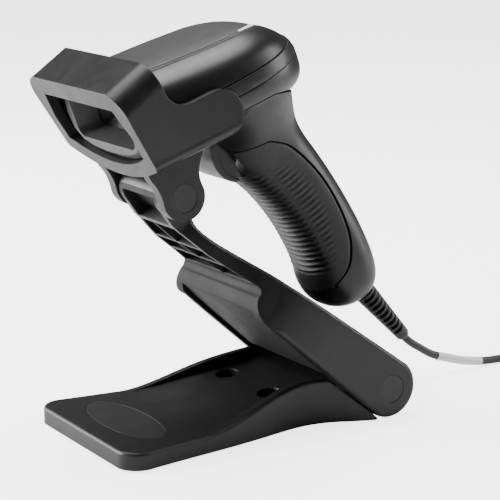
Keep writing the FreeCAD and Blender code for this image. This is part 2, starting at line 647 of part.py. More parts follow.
def head_ring(section, inset=0.0):
    y, half_width, bottom, top = section
    middle, half_height = (bottom + top) / 2, (top - bottom) / 2
    ring = [Vector(x, y, middle + z) for x, z in ring_points(half_width - inset, half_height - inset, 2.8)]
    return Part.makePolygon(ring + ring[:1])


def handle_ring(section, inset=0.0):
    z, front, back, half_width = section
    middle, half_depth = (front + back) / 2, (back - front) / 2
    ring = [Vector(x, middle + y, z) for x, y in ring_points(half_width - inset, half_depth - inset, 2.3)]
    return Part.makePolygon(ring + ring[:1])


def facet_loft(name, rings):
    """A solid through the rings, with straight facets from each ring to the next."""
    return shape_feature(name, Part.makeLoft(rings, True, True))


def slab(name, low, high):
    """Everything in the scanner frame between two heights."""
    sides = ("Sizes.scanner_reach", "Sizes.scanner_reach", f"{high - low} mm")
    return box(name, sides, (-SIZE["scanner_reach"] / 2, -20, low))


def below_lower_seam(name, drop):
    """Everything under the lower seam, lowered by a gap."""
    seam = [(y, z - drop) for y, z in LOWER_SEAM]
    rest = flat([seam[-1], (110, seam[-1][1]), (110, -110), (-20, -110), seam[0]])
    outline = [curve(flat(seam))] + lines(rest)
    return padded(name, outline, "Sizes.scanner_reach")


def casing_forms():
    """The lofted forms that the casing pieces are cut from, each drawn once."""
    wall, grip = SIZE["casing_wall"], SIZE["grip_thickness"]
    depth, hollow = SIZE["panel_depth"], SIZE["casing_wall"] + SIZE["grip_thickness"] - 0.4
    return {
        "head": facet_loft("head_form", [head_ring(section) for section in HEAD_SECTIONS]),
        "head_space": facet_loft("head_space", [head_ring(section, wall) for section in HEAD_SECTIONS[:-2]]),
        "panel_floor": facet_loft("panel_floor", [head_ring(row, depth) for row in HEAD_SECTIONS[:-1]]),
        "handle": facet_loft("handle_form", [handle_ring(section) for section in HANDLE_SECTIONS]),
        "handle_core": facet_loft("handle_core", [handle_ring(section, grip) for section in HANDLE_SECTIONS]),
        "handle_space": facet_loft("handle_space", [handle_ring(row, hollow) for row in HANDLE_SECTIONS[:-1]]),
    }


def casing_shells(forms):
    gap, ridge, seam = SIZE["seam_gap"], SIZE["ridge_height"], SIZE["upper_seam_height"]
    head_wall = cut("head_wall", forms["head"], forms["head_space"])
    top = common("top_blank", [head_wall, slab("top_slab", ridge + gap, 70)])
    seats = fuse("panel_seats", [panel_prism("panel_seat", 0.12), light_guide_prism("guide_seat", 0.1)])
    recessed = cut("top_recessed", top, cut("panel_seat_floor", seats, forms["panel_floor"]))
    node("top_shell", cut("top_shell", recessed, light_guide_prism("guide_slot", 0.1)), scanner_frame())
    band = common("middle_band", [head_wall, slab("band_slab", seam + gap, ridge)])
    node("middle_band", band, scanner_frame())
    lower = common("lower_blank", [head_wall, slab("lower_slab", 5, seam)])
    node("lower_shell", cut("lower_shell", lower, below_lower_seam("seam_tool", 0.0)), scanner_frame())
    top_trim(forms, head_wall)


def tear_outline(margin, nose, tip, half_width):
    """A tear-drop outline with a straight front and a round rear tip."""
    half = half_width + margin
    sides = [(nose, half - 1.2), (24, half), (44, half - 0.6), (56, half - 4.6), (tip - 4.6, half - 12.0)]
    end = Vector(0, tip + margin, 0)
    right = curve([Vector(x, y, 0) for y, x in sides] + [end])
    left = curve([Vector(-x, y, 0) for y, x in sides] + [end])
    return [Part.LineSegment(Vector(-sides[0][1], nose, 0), Vector(sides[0][1], nose, 0)), right, left]


def tear_prism(name, outline):
    prism = padded(name, outline, "45 mm", "XY_Plane", symmetric=False)
    prism.Placement.Base.z = SIZE["ridge_height"] - 2
    return prism


def panel_prism(name, margin):
    return tear_prism(name, tear_outline(margin, 2.0 - margin, 69.5, 22.5))


def light_guide_prism(name, margin):
    """A crescent inside the rear tip of the top panel."""
    outer = tear_prism(name + "_outer", tear_outline(margin - 0.9, 40.0, 69.5, 22.5))
    inner = tear_prism(name + "_inner", tear_outline(-2.4 - margin, 0.0, 68.6 - margin, 22.5))
    keep = box(name + "_keep", ("60 mm", "30 mm", "60 mm"), (-30, 52 - margin, 30))
    return common(name, [cut(name + "_crescent", outer, inner), keep])


def top_trim(forms, head_wall):
    skin = cut("panel_skin", forms["head"], forms["panel_floor"])
    blank = common("panel_blank", [skin, panel_prism("panel", 0.0)])
    node("top_panel", cut("top_panel", blank, light_guide_prism("panel_notch", 0.1)), scanner_frame())
    guide = common("status_light_guide", [head_wall, light_guide_prism("guide", 0.0)])
    node("status_light_guide", guide, scanner_frame())


def trigger_slot():
    half = SIZE["trigger_half"] + SIZE["trigger_gap"]
    return box("trigger_slot", (f"{2 * half} mm", "30 mm", "27.4 mm"), (-half, 14.0, -12.2))


def grip_region():
    """Side view of the rubber grip: the front of the handle, bounded behind by a curved edge."""
    edge = GRIP_BACK_EDGE
    rest = flat([edge[-1], (44, -76), (30, -40), (24, -12.2), (44, -12.2), edge[0]])
    outline = [curve(flat(edge))] + lines(rest)
    return padded("grip_region", outline, "Sizes.scanner_reach")


def handle_shells(forms):
    region = grip_region()
    outer = fuse("body_outer", [forms["head"], forms["handle"]])
    blank = common("body_blank", [outer, below_lower_seam("body_region", SIZE["seam_gap"])])
    trimmed = common("body_trimmed", [blank, slab("body_slab", -110, 60)])
    hollow = cut("body_headroom", cut("body_hollow", trimmed, forms["handle_space"]), forms["head_space"])
    seated = cut("body_seated", hollow, cut("grip_seat", region, forms["handle_core"]))
    hole_radius = "Sizes.boot_root_radius + 0.2"
    cord_hole = cylinder("cord_hole", hole_radius, "20 mm", (0, *boot_start()), boot_direction())
    opened = cut("body_opened", seated, fuse("body_tools", [trigger_slot(), cord_hole]))
    face = SIZE["trigger_half"] + SIZE["trigger_gap"]
    bosses = [cylinder(f"trigger_boss_{side}", "3.2 mm", "9.6 mm", (side * face, 36, 12), Vector(side, 0, 0))
              for side in (-1, 1)]
    pin_hole = axle("trigger_pin_hole", "Sizes.trigger_pin_radius", "18 mm", 36, 12)
    with_bosses = fuse("body_with_bosses", [opened, *bosses])
    node("handle_shell", cut("handle_shell", with_bosses, pin_hole), scanner_frame())
    skin = cut("grip_skin", forms["handle"], forms["handle_core"])
    node("rubber_grip", common("rubber_grip", [skin, region]), scanner_frame())


def boot_start():
    """Where the cord leaves the heel of the handle, in the scanner frame."""
    return 78.0, -82.0


def boot_direction():
    return Vector(0, 16.3, -37.1).normalize()


# ---------------------------------------------------------------- trigger

def trigger_parts():
    outline = [
        arc(Vector(31.5, 13.0, 0), Vector(25.6, 1.2, 0), Vector(31.4, -10.4, 0)),
        *lines(flat([(31.4, -10.4), (37.5, -8.6)])),
        arc(Vector(37.5, -8.6, 0), Vector(39.8, 3.0, 0), Vector(39.6, 12.0, 0)),
        arc(Vector(39.6, 12.0, 0), Vector(36.0, 15.2, 0), Vector(31.5, 13.0, 0)),
    ]
    blank = padded("trigger_blank", outline, "2 * Sizes.trigger_half")
    soft = rounded("trigger_soft", blank, 2.6, trigger_front_edge)
    hole = axle("trigger_hole", "Sizes.trigger_pin_radius + Sizes.running_gap", "20 mm", 36, 12)
    notch = box("spring_notch", ("8 mm", "10 mm", "10 mm"), (-4, 32.2, 8.2))
    node("trigger", cut("trigger", soft, fuse("trigger_tools", [hole, notch])), scanner_frame())
    node("trigger_pin", axle("trigger_pin", "Sizes.trigger_pin_radius", "17.8 mm", 36, 12), scanner_frame())
    helix = Part.makeHelix(0.9, 6.3, 2.4)
    wire_section = Part.Wire(Part.makeCircle(0.32, Vector(2.4, 0, 0), Vector(0, 1, 0)))
    coil = Part.Wire(helix).makePipeShell([wire_section], True, True)
    spring = shape_feature("trigger_spring", coil)
    turn = Placement(Vector(-3.15, 36, 12), Rotation(Vector(0, 0, 1), Vector(1, 0, 0)))
    node("trigger_spring", spring, scanner_frame().multiply(turn))


def trigger_front_edge(edge):
    bounds = edge.BoundBox
    return bounds.YMax < 33 and bounds.DiagonalLength > 12 and bounds.XLength < 0.1


# ---------------------------------------------------------------- optics and electronics

def rounded_rectangle(half_x, half_z, radius, y):
    """Closed wire of a rounded rectangle in a plane of constant y, at the nose's height."""
    centre_z, bend = SIZE["nose_height"], radius * (1 - math.sqrt(0.5))

    def point(x, z):
        return Vector(x, y, centre_z + z)

    corners = []
    for sign_x, sign_z in ((1, -1), (1, 1), (-1, 1), (-1, -1)):
        beside = point(sign_x * (half_x - radius), sign_z * half_z)
        above = point(sign_x * half_x, sign_z * (half_z - radius))
        middle = point(sign_x * (half_x - bend), sign_z * (half_z - bend))
        first, last = (beside, above) if sign_x * sign_z < 0 else (above, beside)
        corners.append((first, middle, last))
    edges = []
    for (first, middle, last), following in zip(corners, corners[1:] + corners[:1]):
        edges += [arc(first, middle, last).toShape(), Part.makeLine(last, following[0])]
    return Part.Wire(edges)


def nose_form(name, ends):
    """A solid between two rounded rectangles."""
    return shape_feature(name, Part.makeLoft([rounded_rectangle(*end) for end in ends], True, True))


def nose_parts():
    """The front bezel with its tapered tunnel, and the scan window at the tunnel's end."""
    plate = facet_loft("bezel_plate", [head_ring(NOSE_SECTION), head_ring(HEAD_SECTIONS[0])])
    whole = fuse("bezel_whole", [plate, nose_form("bezel_sleeve", SLEEVE_ENDS)])
    tunnel, seat = nose_form("bezel_tunnel", TUNNEL_ENDS), nose_form("window_seat", WINDOW_SEAT_ENDS)
    tools = fuse("bezel_tools", [tunnel, seat])
    node("nose_bezel", cut("nose_bezel", whole, tools), scanner_frame())
    node("scan_window", nose_form("scan_window", WINDOW_ENDS), scanner_frame())


def electronics():
    frame = scanner_frame()
    forward = Vector(0, -1, 0)
    node("scan_engine", box("scan_engine", ("27 mm", "16 mm", "15 mm"), (-13.5, 4.0, 31.5)), frame)
    node("imager_lens", cylinder("imager_lens", "4.2 mm", "3.4 mm", (-5.0, 3.95, 39.0), forward), frame)
    node("aimer_lens", cylinder("aimer_lens", "2.2 mm", "2.4 mm", (5.0, 3.95, 42.0), forward), frame)
    led_places = [(10, 36.0), (10, 42.0), (4.4, 35.5)]
    leds = [cylinder(f"led_{i}", "1.8 mm", "1.6 mm", (x, 3.95, z), forward)
            for i, (x, z) in enumerate(led_places)]
    node("illumination_leds", fuse("illumination_leds", leds), frame)
    node("engine_bracket", box("engine_bracket", ("34 mm", "20 mm", "1.2 mm"), (-17, 2.0, 30.2)), frame)
    board_z = 26.8
    board_size = ("44 mm", "50 mm", "Sizes.board_thickness")
    node("main_board", box("main_board", board_size, (-22, 10.0, board_z)), frame)
    node("shield_can", box("shield_can", ("20 mm", "18 mm", "2.6 mm"), (-10, 36.0, board_z + 1.65)), frame)
    node("beeper", cylinder("beeper", "5 mm", "4 mm", (15.0, 30.0, board_z + 1.65)), frame)
    node("status_led", box("status_led", ("3 mm", "3 mm", "1.4 mm"), (-1.5, 55.5, board_z + 1.65)), frame)
    node("trigger_board", box("trigger_board", ("16 mm", "1.2 mm", "20 mm"), (-8, 53.2, -12.0)), frame)
    node("trigger_switch", box("trigger_switch", ("8 mm", "7 mm", "10 mm"), (-4, 46.1, -9.0)), frame)


# ---------------------------------------------------------------- cord

def cord_path(points):
    spline = Part.BSplineCurve()
    spline.interpolate([Vector(0, y, z) for y, z in points])
    return Part.Wire([spline.toShape()])


def tube_along(path, radius):
    start = path.Edges[0].valueAt(path.Edges[0].FirstParameter)
    direction = path.Edges[0].tangentAt(path.Edges[0].FirstParameter)
    section = Part.Wire(Part.makeCircle(radius, start, direction))
    return path.makePipeShell([section], True, False)


def boot_and_lead():
    """The boot and the short lead inside it, which stay with the scanner."""
    direction = boot_direction()
    begin = Vector(0, *boot_start()) + direction * SIZE["boot_inset"]
    boot = doc.addObject("Part::Cone", "cord_boot_blank")
    boot.setExpression("Radius1", "Sizes.boot_root_radius")
    boot.setExpression("Radius2", "Sizes.boot_tip_radius")
    boot.setExpression("Height", "Sizes.boot_length")
    boot.Placement = Placement(begin, Rotation(Vector(0, 0, 1), direction))
    bore = cylinder("boot_bore", "Sizes.cord_radius + 0.02", "60 mm", tuple(begin - direction * 2), direction)
    node("cord_boot", cut("cord_boot", boot, bore), scanner_frame())
    lead = cylinder("cord_lead", "Sizes.cord_radius", "Sizes.lead_length", tuple(begin), direction)
    node("cord_lead", lead, scanner_frame())


def cord_parts():
    """The cord, its blank sleeve and its plug, which lie on the desk.

    The cord starts on a cylinder round the lower hinge that the lead's end stays inside, so the two never
    meet as the arm folds.
    """
    path = cord_path(CORD_LINE)
    swing_room = axle("swing_room", "Sizes.cord_start_radius", "20 mm", SIZE["hinge_y"], SIZE["hinge_z"])
    cord = cut("cord", shape_feature("cord_tube", tube_along(path, SIZE["cord_radius"])), swing_room)
    node("cord", cord)
    sleeve_tube = shape_feature("sleeve_tube", tube_along(path, SIZE["sleeve_radius"]))
    sleeve_reach = box("sleeve_reach", ("20 mm", "Sizes.sleeve_length", "40 mm"), (-10, SIZE["sleeve_start"], 0))
    node("cord_sleeve", cut("cord_sleeve", common("sleeve_blank", [sleeve_tube, sleeve_reach]), cord))
    plug = box("usb_plug_body", ("15.5 mm", "30 mm", "8 mm"), (-7.75, 196.0, 0.0))
    node("usb_plug", rounded("usb_plug", plug, 1.6, lambda e: True))
    shell = box("plug_shell_blank", ("12 mm", "18.5 mm", "4.5 mm"), (-6, 226.0, 1.75))
    space = box("plug_shell_space", ("11.2 mm", "18 mm", "1.9 mm"), (-5.6, 227.0, 1.75 + 2.2))
    node("plug_shell", cut("plug_shell", shell, space))


# ---------------------------------------------------------------- build, check and write

def build():
    fill_sheet()
    base_shell()
    base_details()
    arm_shell()
    arm_details()
    cradle()
    forms = casing_forms()
    casing_shells(forms)
    handle_shells(forms)
    trigger_parts()
    nose_parts()
    electronics()
    boot_and_lead()
    cord_parts()
    doc.recompute()


def check():
    for feature in doc.Objects:
        if "Invalid" in feature.State or "Error" in feature.State:
            raise RuntimeError(f"{feature.Name} failed: {feature.State}")
    for feature in NODES:
        if feature.Shape.isNull() or not feature.Shape.isValid() or not feature.Shape.Solids:
            raise RuntimeError(f"{feature.Label} is not a valid solid")


def write():
    os.makedirs("parts", exist_ok=True)
    for feature in NODES:
        feature.Shape.exportStep(os.path.join("parts", feature.Label + ".step"))
        volume = round(feature.Shape.Volume / 1000, 2)
        print(feature.Label, len(feature.Shape.Solids), "solids", volume, "cm3")


build()
check()
write()
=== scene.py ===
"""Looks of a handheld barcode scanner in its folding stand.

The stand's CAD nodes stay and get moulded-plastic materials. The scanner's casing, grip, trigger, boot, cord
and plug are rebuilt here as smooth meshes. Those are modelled in millimetres in the scanner's own frame
(origin at the upper hinge, y back along the head, z out of its top) and then placed in the world.
"""

import json
import math
from functools import lru_cache

import bmesh
import bpy
from mathutils import Matrix, Vector


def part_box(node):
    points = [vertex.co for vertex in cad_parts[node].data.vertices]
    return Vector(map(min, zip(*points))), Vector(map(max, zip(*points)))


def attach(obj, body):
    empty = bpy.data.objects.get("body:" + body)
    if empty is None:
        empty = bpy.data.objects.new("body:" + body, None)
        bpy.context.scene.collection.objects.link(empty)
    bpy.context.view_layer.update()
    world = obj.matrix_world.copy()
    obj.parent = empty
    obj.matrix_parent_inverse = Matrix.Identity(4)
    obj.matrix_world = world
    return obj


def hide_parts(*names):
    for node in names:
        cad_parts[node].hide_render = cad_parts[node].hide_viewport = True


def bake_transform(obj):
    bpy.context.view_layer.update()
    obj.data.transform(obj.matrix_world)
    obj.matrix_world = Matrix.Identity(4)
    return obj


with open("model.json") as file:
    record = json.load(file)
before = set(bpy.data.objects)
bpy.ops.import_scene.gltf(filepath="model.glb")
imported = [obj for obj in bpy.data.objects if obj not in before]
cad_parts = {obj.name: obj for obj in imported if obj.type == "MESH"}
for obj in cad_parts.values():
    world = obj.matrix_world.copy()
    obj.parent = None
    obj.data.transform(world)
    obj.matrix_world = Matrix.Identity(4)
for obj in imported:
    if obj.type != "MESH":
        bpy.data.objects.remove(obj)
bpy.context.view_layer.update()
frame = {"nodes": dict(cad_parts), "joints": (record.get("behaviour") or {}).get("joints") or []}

MM = 0.001
HALVINGS = 30
LOWER_HINGE = next(joint["pos_m"] for joint in frame["joints"] if joint["name"] == "arm_hinge")
ARM_LEAN = math.radians(44.52)

# Arm, in millimetres from the lower hinge: along it, out of its face and across it. A facing is a cosine.
# These limits pick the faces of the arm's hollows and lip that get painted shade.
LATTICE_START, LATTICE_EDGE, LIP_END, CHEEK_INNER = -84.0, -8.0, -66.0, 36.0
FLOOR_FACING, LIP_FACING = -0.5, 0.3

HEAD_TILT = math.radians(20)
UPPER_HINGE = next(joint["pos_m"] for joint in frame["joints"] if joint["name"] == "cradle_tilt")
SCANNER = Matrix.Translation(UPPER_HINGE) @ Matrix.Rotation(HEAD_TILT, 4, "X") @ Matrix.Scale(MM, 4)
WORLD = Matrix.Scale(MM, 4)

# Scanner head: (y, half width, bottom, top). Handle: (z, front, back, half width).
HEAD = (
    (-11.6, 34.0, 21.8, 56.2), (0, 36.0, 20.4, 57.6), (18, 37.0, 19.2, 56.8), (36, 36.6, 18.0, 55.6),
    (50, 34.4, 17.2, 54.4), (61, 30.2, 17.0, 51.6), (69, 24.6, 17.3, 47.2), (74.5, 18.6, 18.6, 42.2),
    (78.2, 12.6, 20.6, 37.8), (80.3, 7.0, 23.4, 34.0), (81.0, 2.6, 26.2, 31.2),
)
HANDLE = (
    (27, 14, 70.5, 33.2), (20, 19, 71.5, 29.8), (12, 25, 71.4, 25.0), (4, 30, 71.6, 20.8),
    (-5, 33.2, 73.6, 18.4), (-15, 38.6, 77.2, 17.3), (-25, 44.2, 80.4, 17.0), (-35, 48.4, 83.2, 17.0),
    (-45, 51.6, 85.6, 17.2), (-55, 53.8, 87.6, 17.6), (-65, 55.2, 89.0, 18.0), (-74, 54.4, 89.8, 18.2),
    (-82, 55.6, 89.2, 17.4), (-88, 59.2, 86.6, 14.6), (-91.4, 64.0, 82.6, 10.6), (-92.8, 69.0, 78.0, 6.0),
)
HEAD_POWER, HANDLE_POWER = 2.8, 2.3
# Back edge of the grip on the handle's flank: (z, y).
GRIP_BACK_EDGE = (
    (4, 47), (-3, 57.5), (-14, 65.4), (-26, 71.0), (-39, 74.2),
    (-52, 75.1), (-62, 73.4), (-70, 69), (-76, 61),
)
# Seam between the head's underside and the handle: (y, z).
LOWER_SEAM = ((-20, 26.4), (42, 26.4), (56, 24.0), (68, 18.4), (84, 12.0))
SEAM_STEPS = 40
RIDGE, UPPER_SEAM, SEAM_GAP = 39.8, 33.7, 0.45
WALL, NOSE_OPENING = 2.4, 12
TOP_INSET, BAND_INSET, PANEL_INSET, GUIDE_INSET, GROOVE_INSET = 0.35, -0.25, 0.5, 0.62, 1.2
MOST_INSET, REAR_ROW = 0.9, 8

# Top panel: half width, rear tip and nose of each tear-shaped outline.
PANEL_HOLE, PANEL_EDGE = (22.6, 69.6, 1.8), (22.2, 69.2, 2.2)
GROOVE_OUTER, GROOVE_INNER = (20.9, 67.9, 3.6), (20.5, 67.5, 4.0)
TEAR_WIDEST, TEAR_POWER = 24.0, 2.6
PANEL_UNDERSIDE = 41

# Reach of the cutting solids past the scanner.
CUT_SIDE, CUT_FRONT, CUT_BACK, CUT_DOWN, CUT_UP = 60, -30, 110, -110, 90

# Grip: ribs between two heights, deep in front and fine on the flanks. Angles are round the handle.
HANDLE_AXIS = Vector((0, 0.30, -0.954)).normalized()
RIB_PITCH, TOOTH_POWER = 2.75, 1.15
RIBS_TOP, RIBS_BOTTOM = (-9.0, -13.5), (-70.5, -66.5)
FRONT_FADE, FLANK_RISE, FLANK_FADE = (0.62, 1.0), (0.95, 1.15), (0.62, 0.30)
FRONT_TOOTH, FRONT_DROP, FLANK_TOOTH, FLANK_DROP = 1.7, 1.15, 0.5, 0.35
SKIN_RAISE, RIM_DROP, RIM_WIDTH, MM_PER_RADIAN = 0.05, 0.9, 1.6, 17
GRIP_LOW, GRIP_HIGH, GRIP_THICKNESS, GRIP_GRID = -77.0, 3.0, 2.2, (560, 110)
SEAT_LOW, SEAT_HIGH, SEAT_MARGIN, SEAT_OUT, SEAT_DEPTH, SEAT_GRID = -77.6, 3.6, 0.55, 4.0, 1.7, (80, 60)
BLEND_VOXEL, BLEND_STRENGTH, BLEND_PASSES = 0.8, 0.5, 14

# Trigger and its slot, in (y, z). An arc is its centre, radius, start and end in degrees.
TRIGGER_HALF, CARRIER_STEP, SLOT_HALF = 10.7, 1.2, 12.2
PAD_FRONT, PAD_BACK = ((38.6, 2.2), 14.2, 142, 242), ((42.6, 2.2), 14.9, 236, 148)
CARRIER_REAR, CARRIER_FOOT, CARRIER_TOP = ((30.4, 1.6), 6.6, -46, 56), (36.0, -9.4), (34.0, 14.4)
SLOT_FRONT, SLOT_LOW, SLOT_TOP = 14, -12.4, 15.2
SLOT_CENTRE, SLOT_DEPTH, SLOT_HEIGHT, SLOT_STEPS = (34.4, 1.4), 8.2, 13.6, 24

# Cord boot, in millimetres from where it leaves the handle's heel.
BOOT_START = Vector((0, 78.0, -82.0))
BOOT_AXIS = Vector((0, 16.3, -37.1)).normalized()
BOOT_INSET, BOOT_LENGTH, BOOT_STEPS, BOOT_ROOT, BOOT_TAPER = 6.0, 42.0, 400, 5.8, 2.5
BOOT_END_SHARE, BOOT_END_ROUND = 0.03, 0.5
BOOT_SLOTS_START, BOOT_SLOTS_END, BOOT_SLOT_RAMP, BOOT_SLOT_PITCH, BOOT_SLOT_DEPTH = 4.5, 37.0, 0.7, 3.25, 1.5

# Cord, from inside the boot to the plug: distances along the boot, then (y, z) over the desk.
CORD_IN_BOOT = (8, 20, 32, 44, 52.4)
CORD_ON_DESK = (
    (109.8, 15.4), (117.0, 11.2), (126.0, 8.0), (138.0, 4.6), (152.0, 2.4), (170.0, 2.0), (196.5, 2.0),
)
CORD_RADIUS, SLEEVE_RADIUS, SLEEVE_START, SLEEVE_END = 1.9, 2.12, 119.6, 148.3
CREASE_DEPTH, CREASES_ROUND, CREASES_ALONG = 0.05, 3, 9
NOTCHES, NOTCH_START, NOTCH_PITCH, NOTCH_WIDTH = 5, 7, 3, 1.3


# ---------------------------------------------------------------- mesh helpers

def new_object(name, mesh):
    piece = bpy.data.objects.new(name, mesh)
    bpy.context.scene.collection.objects.link(piece)
    return piece


def from_points(name, points, faces):
    mesh = bpy.data.meshes.new(name)
    mesh.from_pydata([tuple(p) for p in points], [], faces)
    mesh.validate()
    bm = bmesh.new()
    bm.from_mesh(mesh)
    bmesh.ops.recalc_face_normals(bm, faces=bm.faces)
    bm.to_mesh(mesh)
    bm.free()
    return new_object(name, mesh)


def column(table, position):
    """The row of a table at a fractional index, by a smooth curve through its rows."""
    last = len(table) - 1
    index = min(int(position), last - 1)
    f = position - index
    rows = [table[max(0, min(last, index + k))] for k in (-1, 0, 1, 2)]
    weights = (-0.5 * f + f * f - 0.5 * f ** 3, 1 - 2.5 * f * f + 1.5 * f ** 3,
               0.5 * f + 2 * f * f - 1.5 * f ** 3, -0.5 * f * f + 0.5 * f ** 3)
    return tuple(sum(w * row[c] for w, row in zip(weights, rows)) for c in range(len(table[0])))


@lru_cache(maxsize=None)
def at_key(table, key):
    """The row of a table (a tuple of rows) whose first column equals key."""
    low, high = 0.0, len(table) - 1.0
    rising = table[-1][0] > table[0][0]
    for _ in range(HALVINGS):
        middle = (low + high) / 2
        if (column(table, middle)[0] < key) == rising:
            low = middle
        else:
            high = middle
    return column(table, (low + high) / 2)


def squared_oval(angle, half_x, half_other, power):
    cosine, sine = math.cos(angle), math.sin(angle)
    return (math.copysign(abs(cosine) ** (2 / power), cosine) * half_x,
            math.copysign(abs(sine) ** (2 / power), sine) * half_other)


def loft(name, rings):
    """A closed solid through rings that all have the same number of points."""
    count = len(rings[0])
    points = [p for ring in rings for p in ring]
    faces = []
    for start in range(0, (len(rings) - 1) * count, count):
        for k in range(count):
            after = (k + 1) % count
            faces.append((start + k, start + after, start + count + after, start + count + k))
    faces += [tuple(range(count)), tuple(range(len(points) - count, len(points)))]
    return from_points(name, points, faces)


def prism(name, outline, low, high, place):
    """A straight prism over an outline; place(u, v, depth) says where its points go."""
    return loft(name, [[place(u, v, depth) for u, v in outline] for depth in (low, high)])


def across(u, v, depth):
    return Vector((depth, u, v))


def upward(u, v, depth):
    return Vector((u, v, depth))


def baked(piece):
    """Replaces the mesh with the result of its modifiers."""
    bpy.context.view_layer.update()
    mesh = bpy.data.meshes.new_from_object(piece.evaluated_get(bpy.context.evaluated_depsgraph_get()))
    piece.modifiers.clear()
    piece.data = mesh
    return piece


def boolean(piece, operation, tool, keep_tool=False):
    modifier = piece.modifiers.new(operation.lower(), "BOOLEAN")
    modifier.object, modifier.operation, modifier.solver = tool, operation, "EXACT"
    baked(piece)
    if not keep_tool:
        bpy.data.objects.remove(tool)
    return piece


def soften(piece, width, segments=2, angle=50):
    """Rounds the piece's sharp edges by a real bevel."""
    modifier = piece.modifiers.new("edge", "BEVEL")
    modifier.width, modifier.segments = width, segments
    modifier.limit_method, modifier.angle_limit = "ANGLE", math.radians(angle)
    return baked(piece)


def finish(piece, material, slot, body, *replaced, matrix=SCANNER, sharp=38):
    """Places a finished mesh in the world, gives it its material and hands it to a body."""
    piece.data.transform(matrix)
    piece.data.materials.clear()
    piece.data.materials.append(material)
    piece.data.shade_smooth()
    piece.data.set_sharp_from_angle(angle=math.radians(sharp))
    if body:
        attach(piece, body)
    if replaced:
        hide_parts(*replaced)
    return piece


# ---------------------------------------------------------------- materials

class Nodes:
    """A short way to wire up one material's nodes."""

    def __init__(self, name):
        self.material = bpy.data.materials.new(name)
        self.material.use_nodes = True
        self.tree = self.material.node_tree
        self.shader = self.tree.nodes["Principled BSDF"]
        self.place = self.tree.nodes.new("ShaderNodeTexCoord").outputs["Object"]

    def link(self, source, target):
        self.tree.links.new(source, target)

    def noise(self, size_mm, detail=3.0, distortion=0.0):
        """Noise whose features are about size_mm across."""
        node = self.tree.nodes.new("ShaderNodeTexNoise")
        node.inputs["Scale"].default_value = 1000 / size_mm
        node.inputs["Detail"].default_value = detail
        node.inputs["Distortion"].default_value = distortion
        self.link(self.place, node.inputs["Vector"])
        return node.outputs["Fac"]

    def cells(self, size_mm):
        node = self.tree.nodes.new("ShaderNodeTexVoronoi")
        node.inputs["Scale"].default_value = 1000 / size_mm
        self.link(self.place, node.inputs["Vector"])
        return node.outputs["Distance"]

    def spread(self, source, low, high, start=0.3, end=0.7):
        """Maps a 0 to 1 value onto low to high."""
        node = self.tree.nodes.new("ShaderNodeMapRange")
        for socket, value in zip(("From Min", "From Max", "To Min", "To Max"), (start, end, low, high)):
            node.inputs[socket].default_value = value
        self.link(source, node.inputs["Value"])
        return node.outputs["Result"]

    def tint(self, factor, dark, light):
        node = self.tree.nodes.new("ShaderNodeMix")
        node.data_type = "RGBA"
        node.inputs["A"].default_value = (*dark, 1)
        node.inputs["B"].default_value = (*light, 1)
        self.link(factor, node.inputs["Factor"])
        return node.outputs["Result"]

    def bump(self, height, depth_mm, strength=1.0, under=None):
        node = self.tree.nodes.new("ShaderNodeBump")
        node.inputs["Distance"].default_value = depth_mm * MM
        node.inputs["Strength"].default_value = strength
        self.link(height, node.inputs["Height"])
        if under is not None:
            self.link(under, node.inputs["Normal"])
        return node.outputs["Normal"]

    def seen_only(self, value):
        """The value for rays straight from the camera, and nothing for light that falls on the object."""
        path, scale = self.tree.nodes.new("ShaderNodeLightPath"), self.tree.nodes.new("ShaderNodeMath")
        scale.operation = "MULTIPLY"
        scale.inputs[1].default_value = value
        self.link(path.outputs["Is Camera Ray"], scale.inputs[0])
        return scale.outputs["Value"]

    def round_edges(self, radius_mm):
        node = self.tree.nodes.new("ShaderNodeBevel")
        node.samples = 4
        node.inputs["Radius"].default_value = radius_mm * MM
        return node.outputs["Normal"]

    def set(self, **values):
        for key, value in values.items():
            self.shader.inputs[key.replace("_", " ")].default_value = value


def grey(value, blue=1.04):
    return (value, value, value * blue)


def moulded(name, tone, rough, grain_mm=0.32, grain_depth=0.02, edge=0.35):
    """Moulded plastic: spark-eroded grain, faint handling marks in the gloss, patchy wear in the tone, edges
    rounded in the shading.
    """
    n = Nodes(name)
    wear = n.spread(n.noise(14, 5.0, 0.4), 0.0, 1.0)
    n.link(n.tint(wear, grey(tone * 0.88), grey(tone * 1.18)), n.shader.inputs["Base Color"])
    n.link(n.spread(n.noise(9, 6.0, 0.8), rough - 0.035, rough + 0.045), n.shader.inputs["Roughness"])
    under = n.round_edges(edge) if edge else None
    coarse = n.bump(n.cells(grain_mm), grain_depth, 0.55, under)
    n.link(n.bump(n.noise(grain_mm * 0.6, 2.0), grain_depth, 0.5, coarse), n.shader.inputs["Normal"])
    n.set(Specular_IOR_Level=0.5)
    return n.material


def rubber(name, tone, rough):
    """Soft matt rubber with a dusty bloom."""
    n = Nodes(name)
    bloom = n.spread(n.noise(6, 6.0, 0.6), 0.0, 1.0)
    n.link(n.tint(bloom, grey(tone), grey(tone * 1.45)), n.shader.inputs["Base Color"])
    n.link(n.spread(n.noise(3, 5.0), rough - 0.05, rough + 0.06), n.shader.inputs["Roughness"])
    n.link(n.bump(n.noise(0.22, 3.0), 0.02, 0.6), n.shader.inputs["Normal"])
    n.set(Specular_IOR_Level=0.42, Sheen_Weight=0.06, Sheen_Roughness=0.5)
    return n.material


def metal(name, tone, rough):
    """Plain metal with fine drawn scratches."""
    n = Nodes(name)
    streak = n.noise(0.5, 4.0, 2.0)
    n.link(n.tint(n.spread(streak, 0, 1), grey(tone * 0.8), grey(tone)), n.shader.inputs["Base Color"])
    n.link(n.spread(streak, rough - 0.06, rough + 0.08), n.shader.inputs["Roughness"])
    n.link(n.bump(streak, 0.01, 0.4), n.shader.inputs["Normal"])
    n.set(Metallic=1.0)
    return n.material


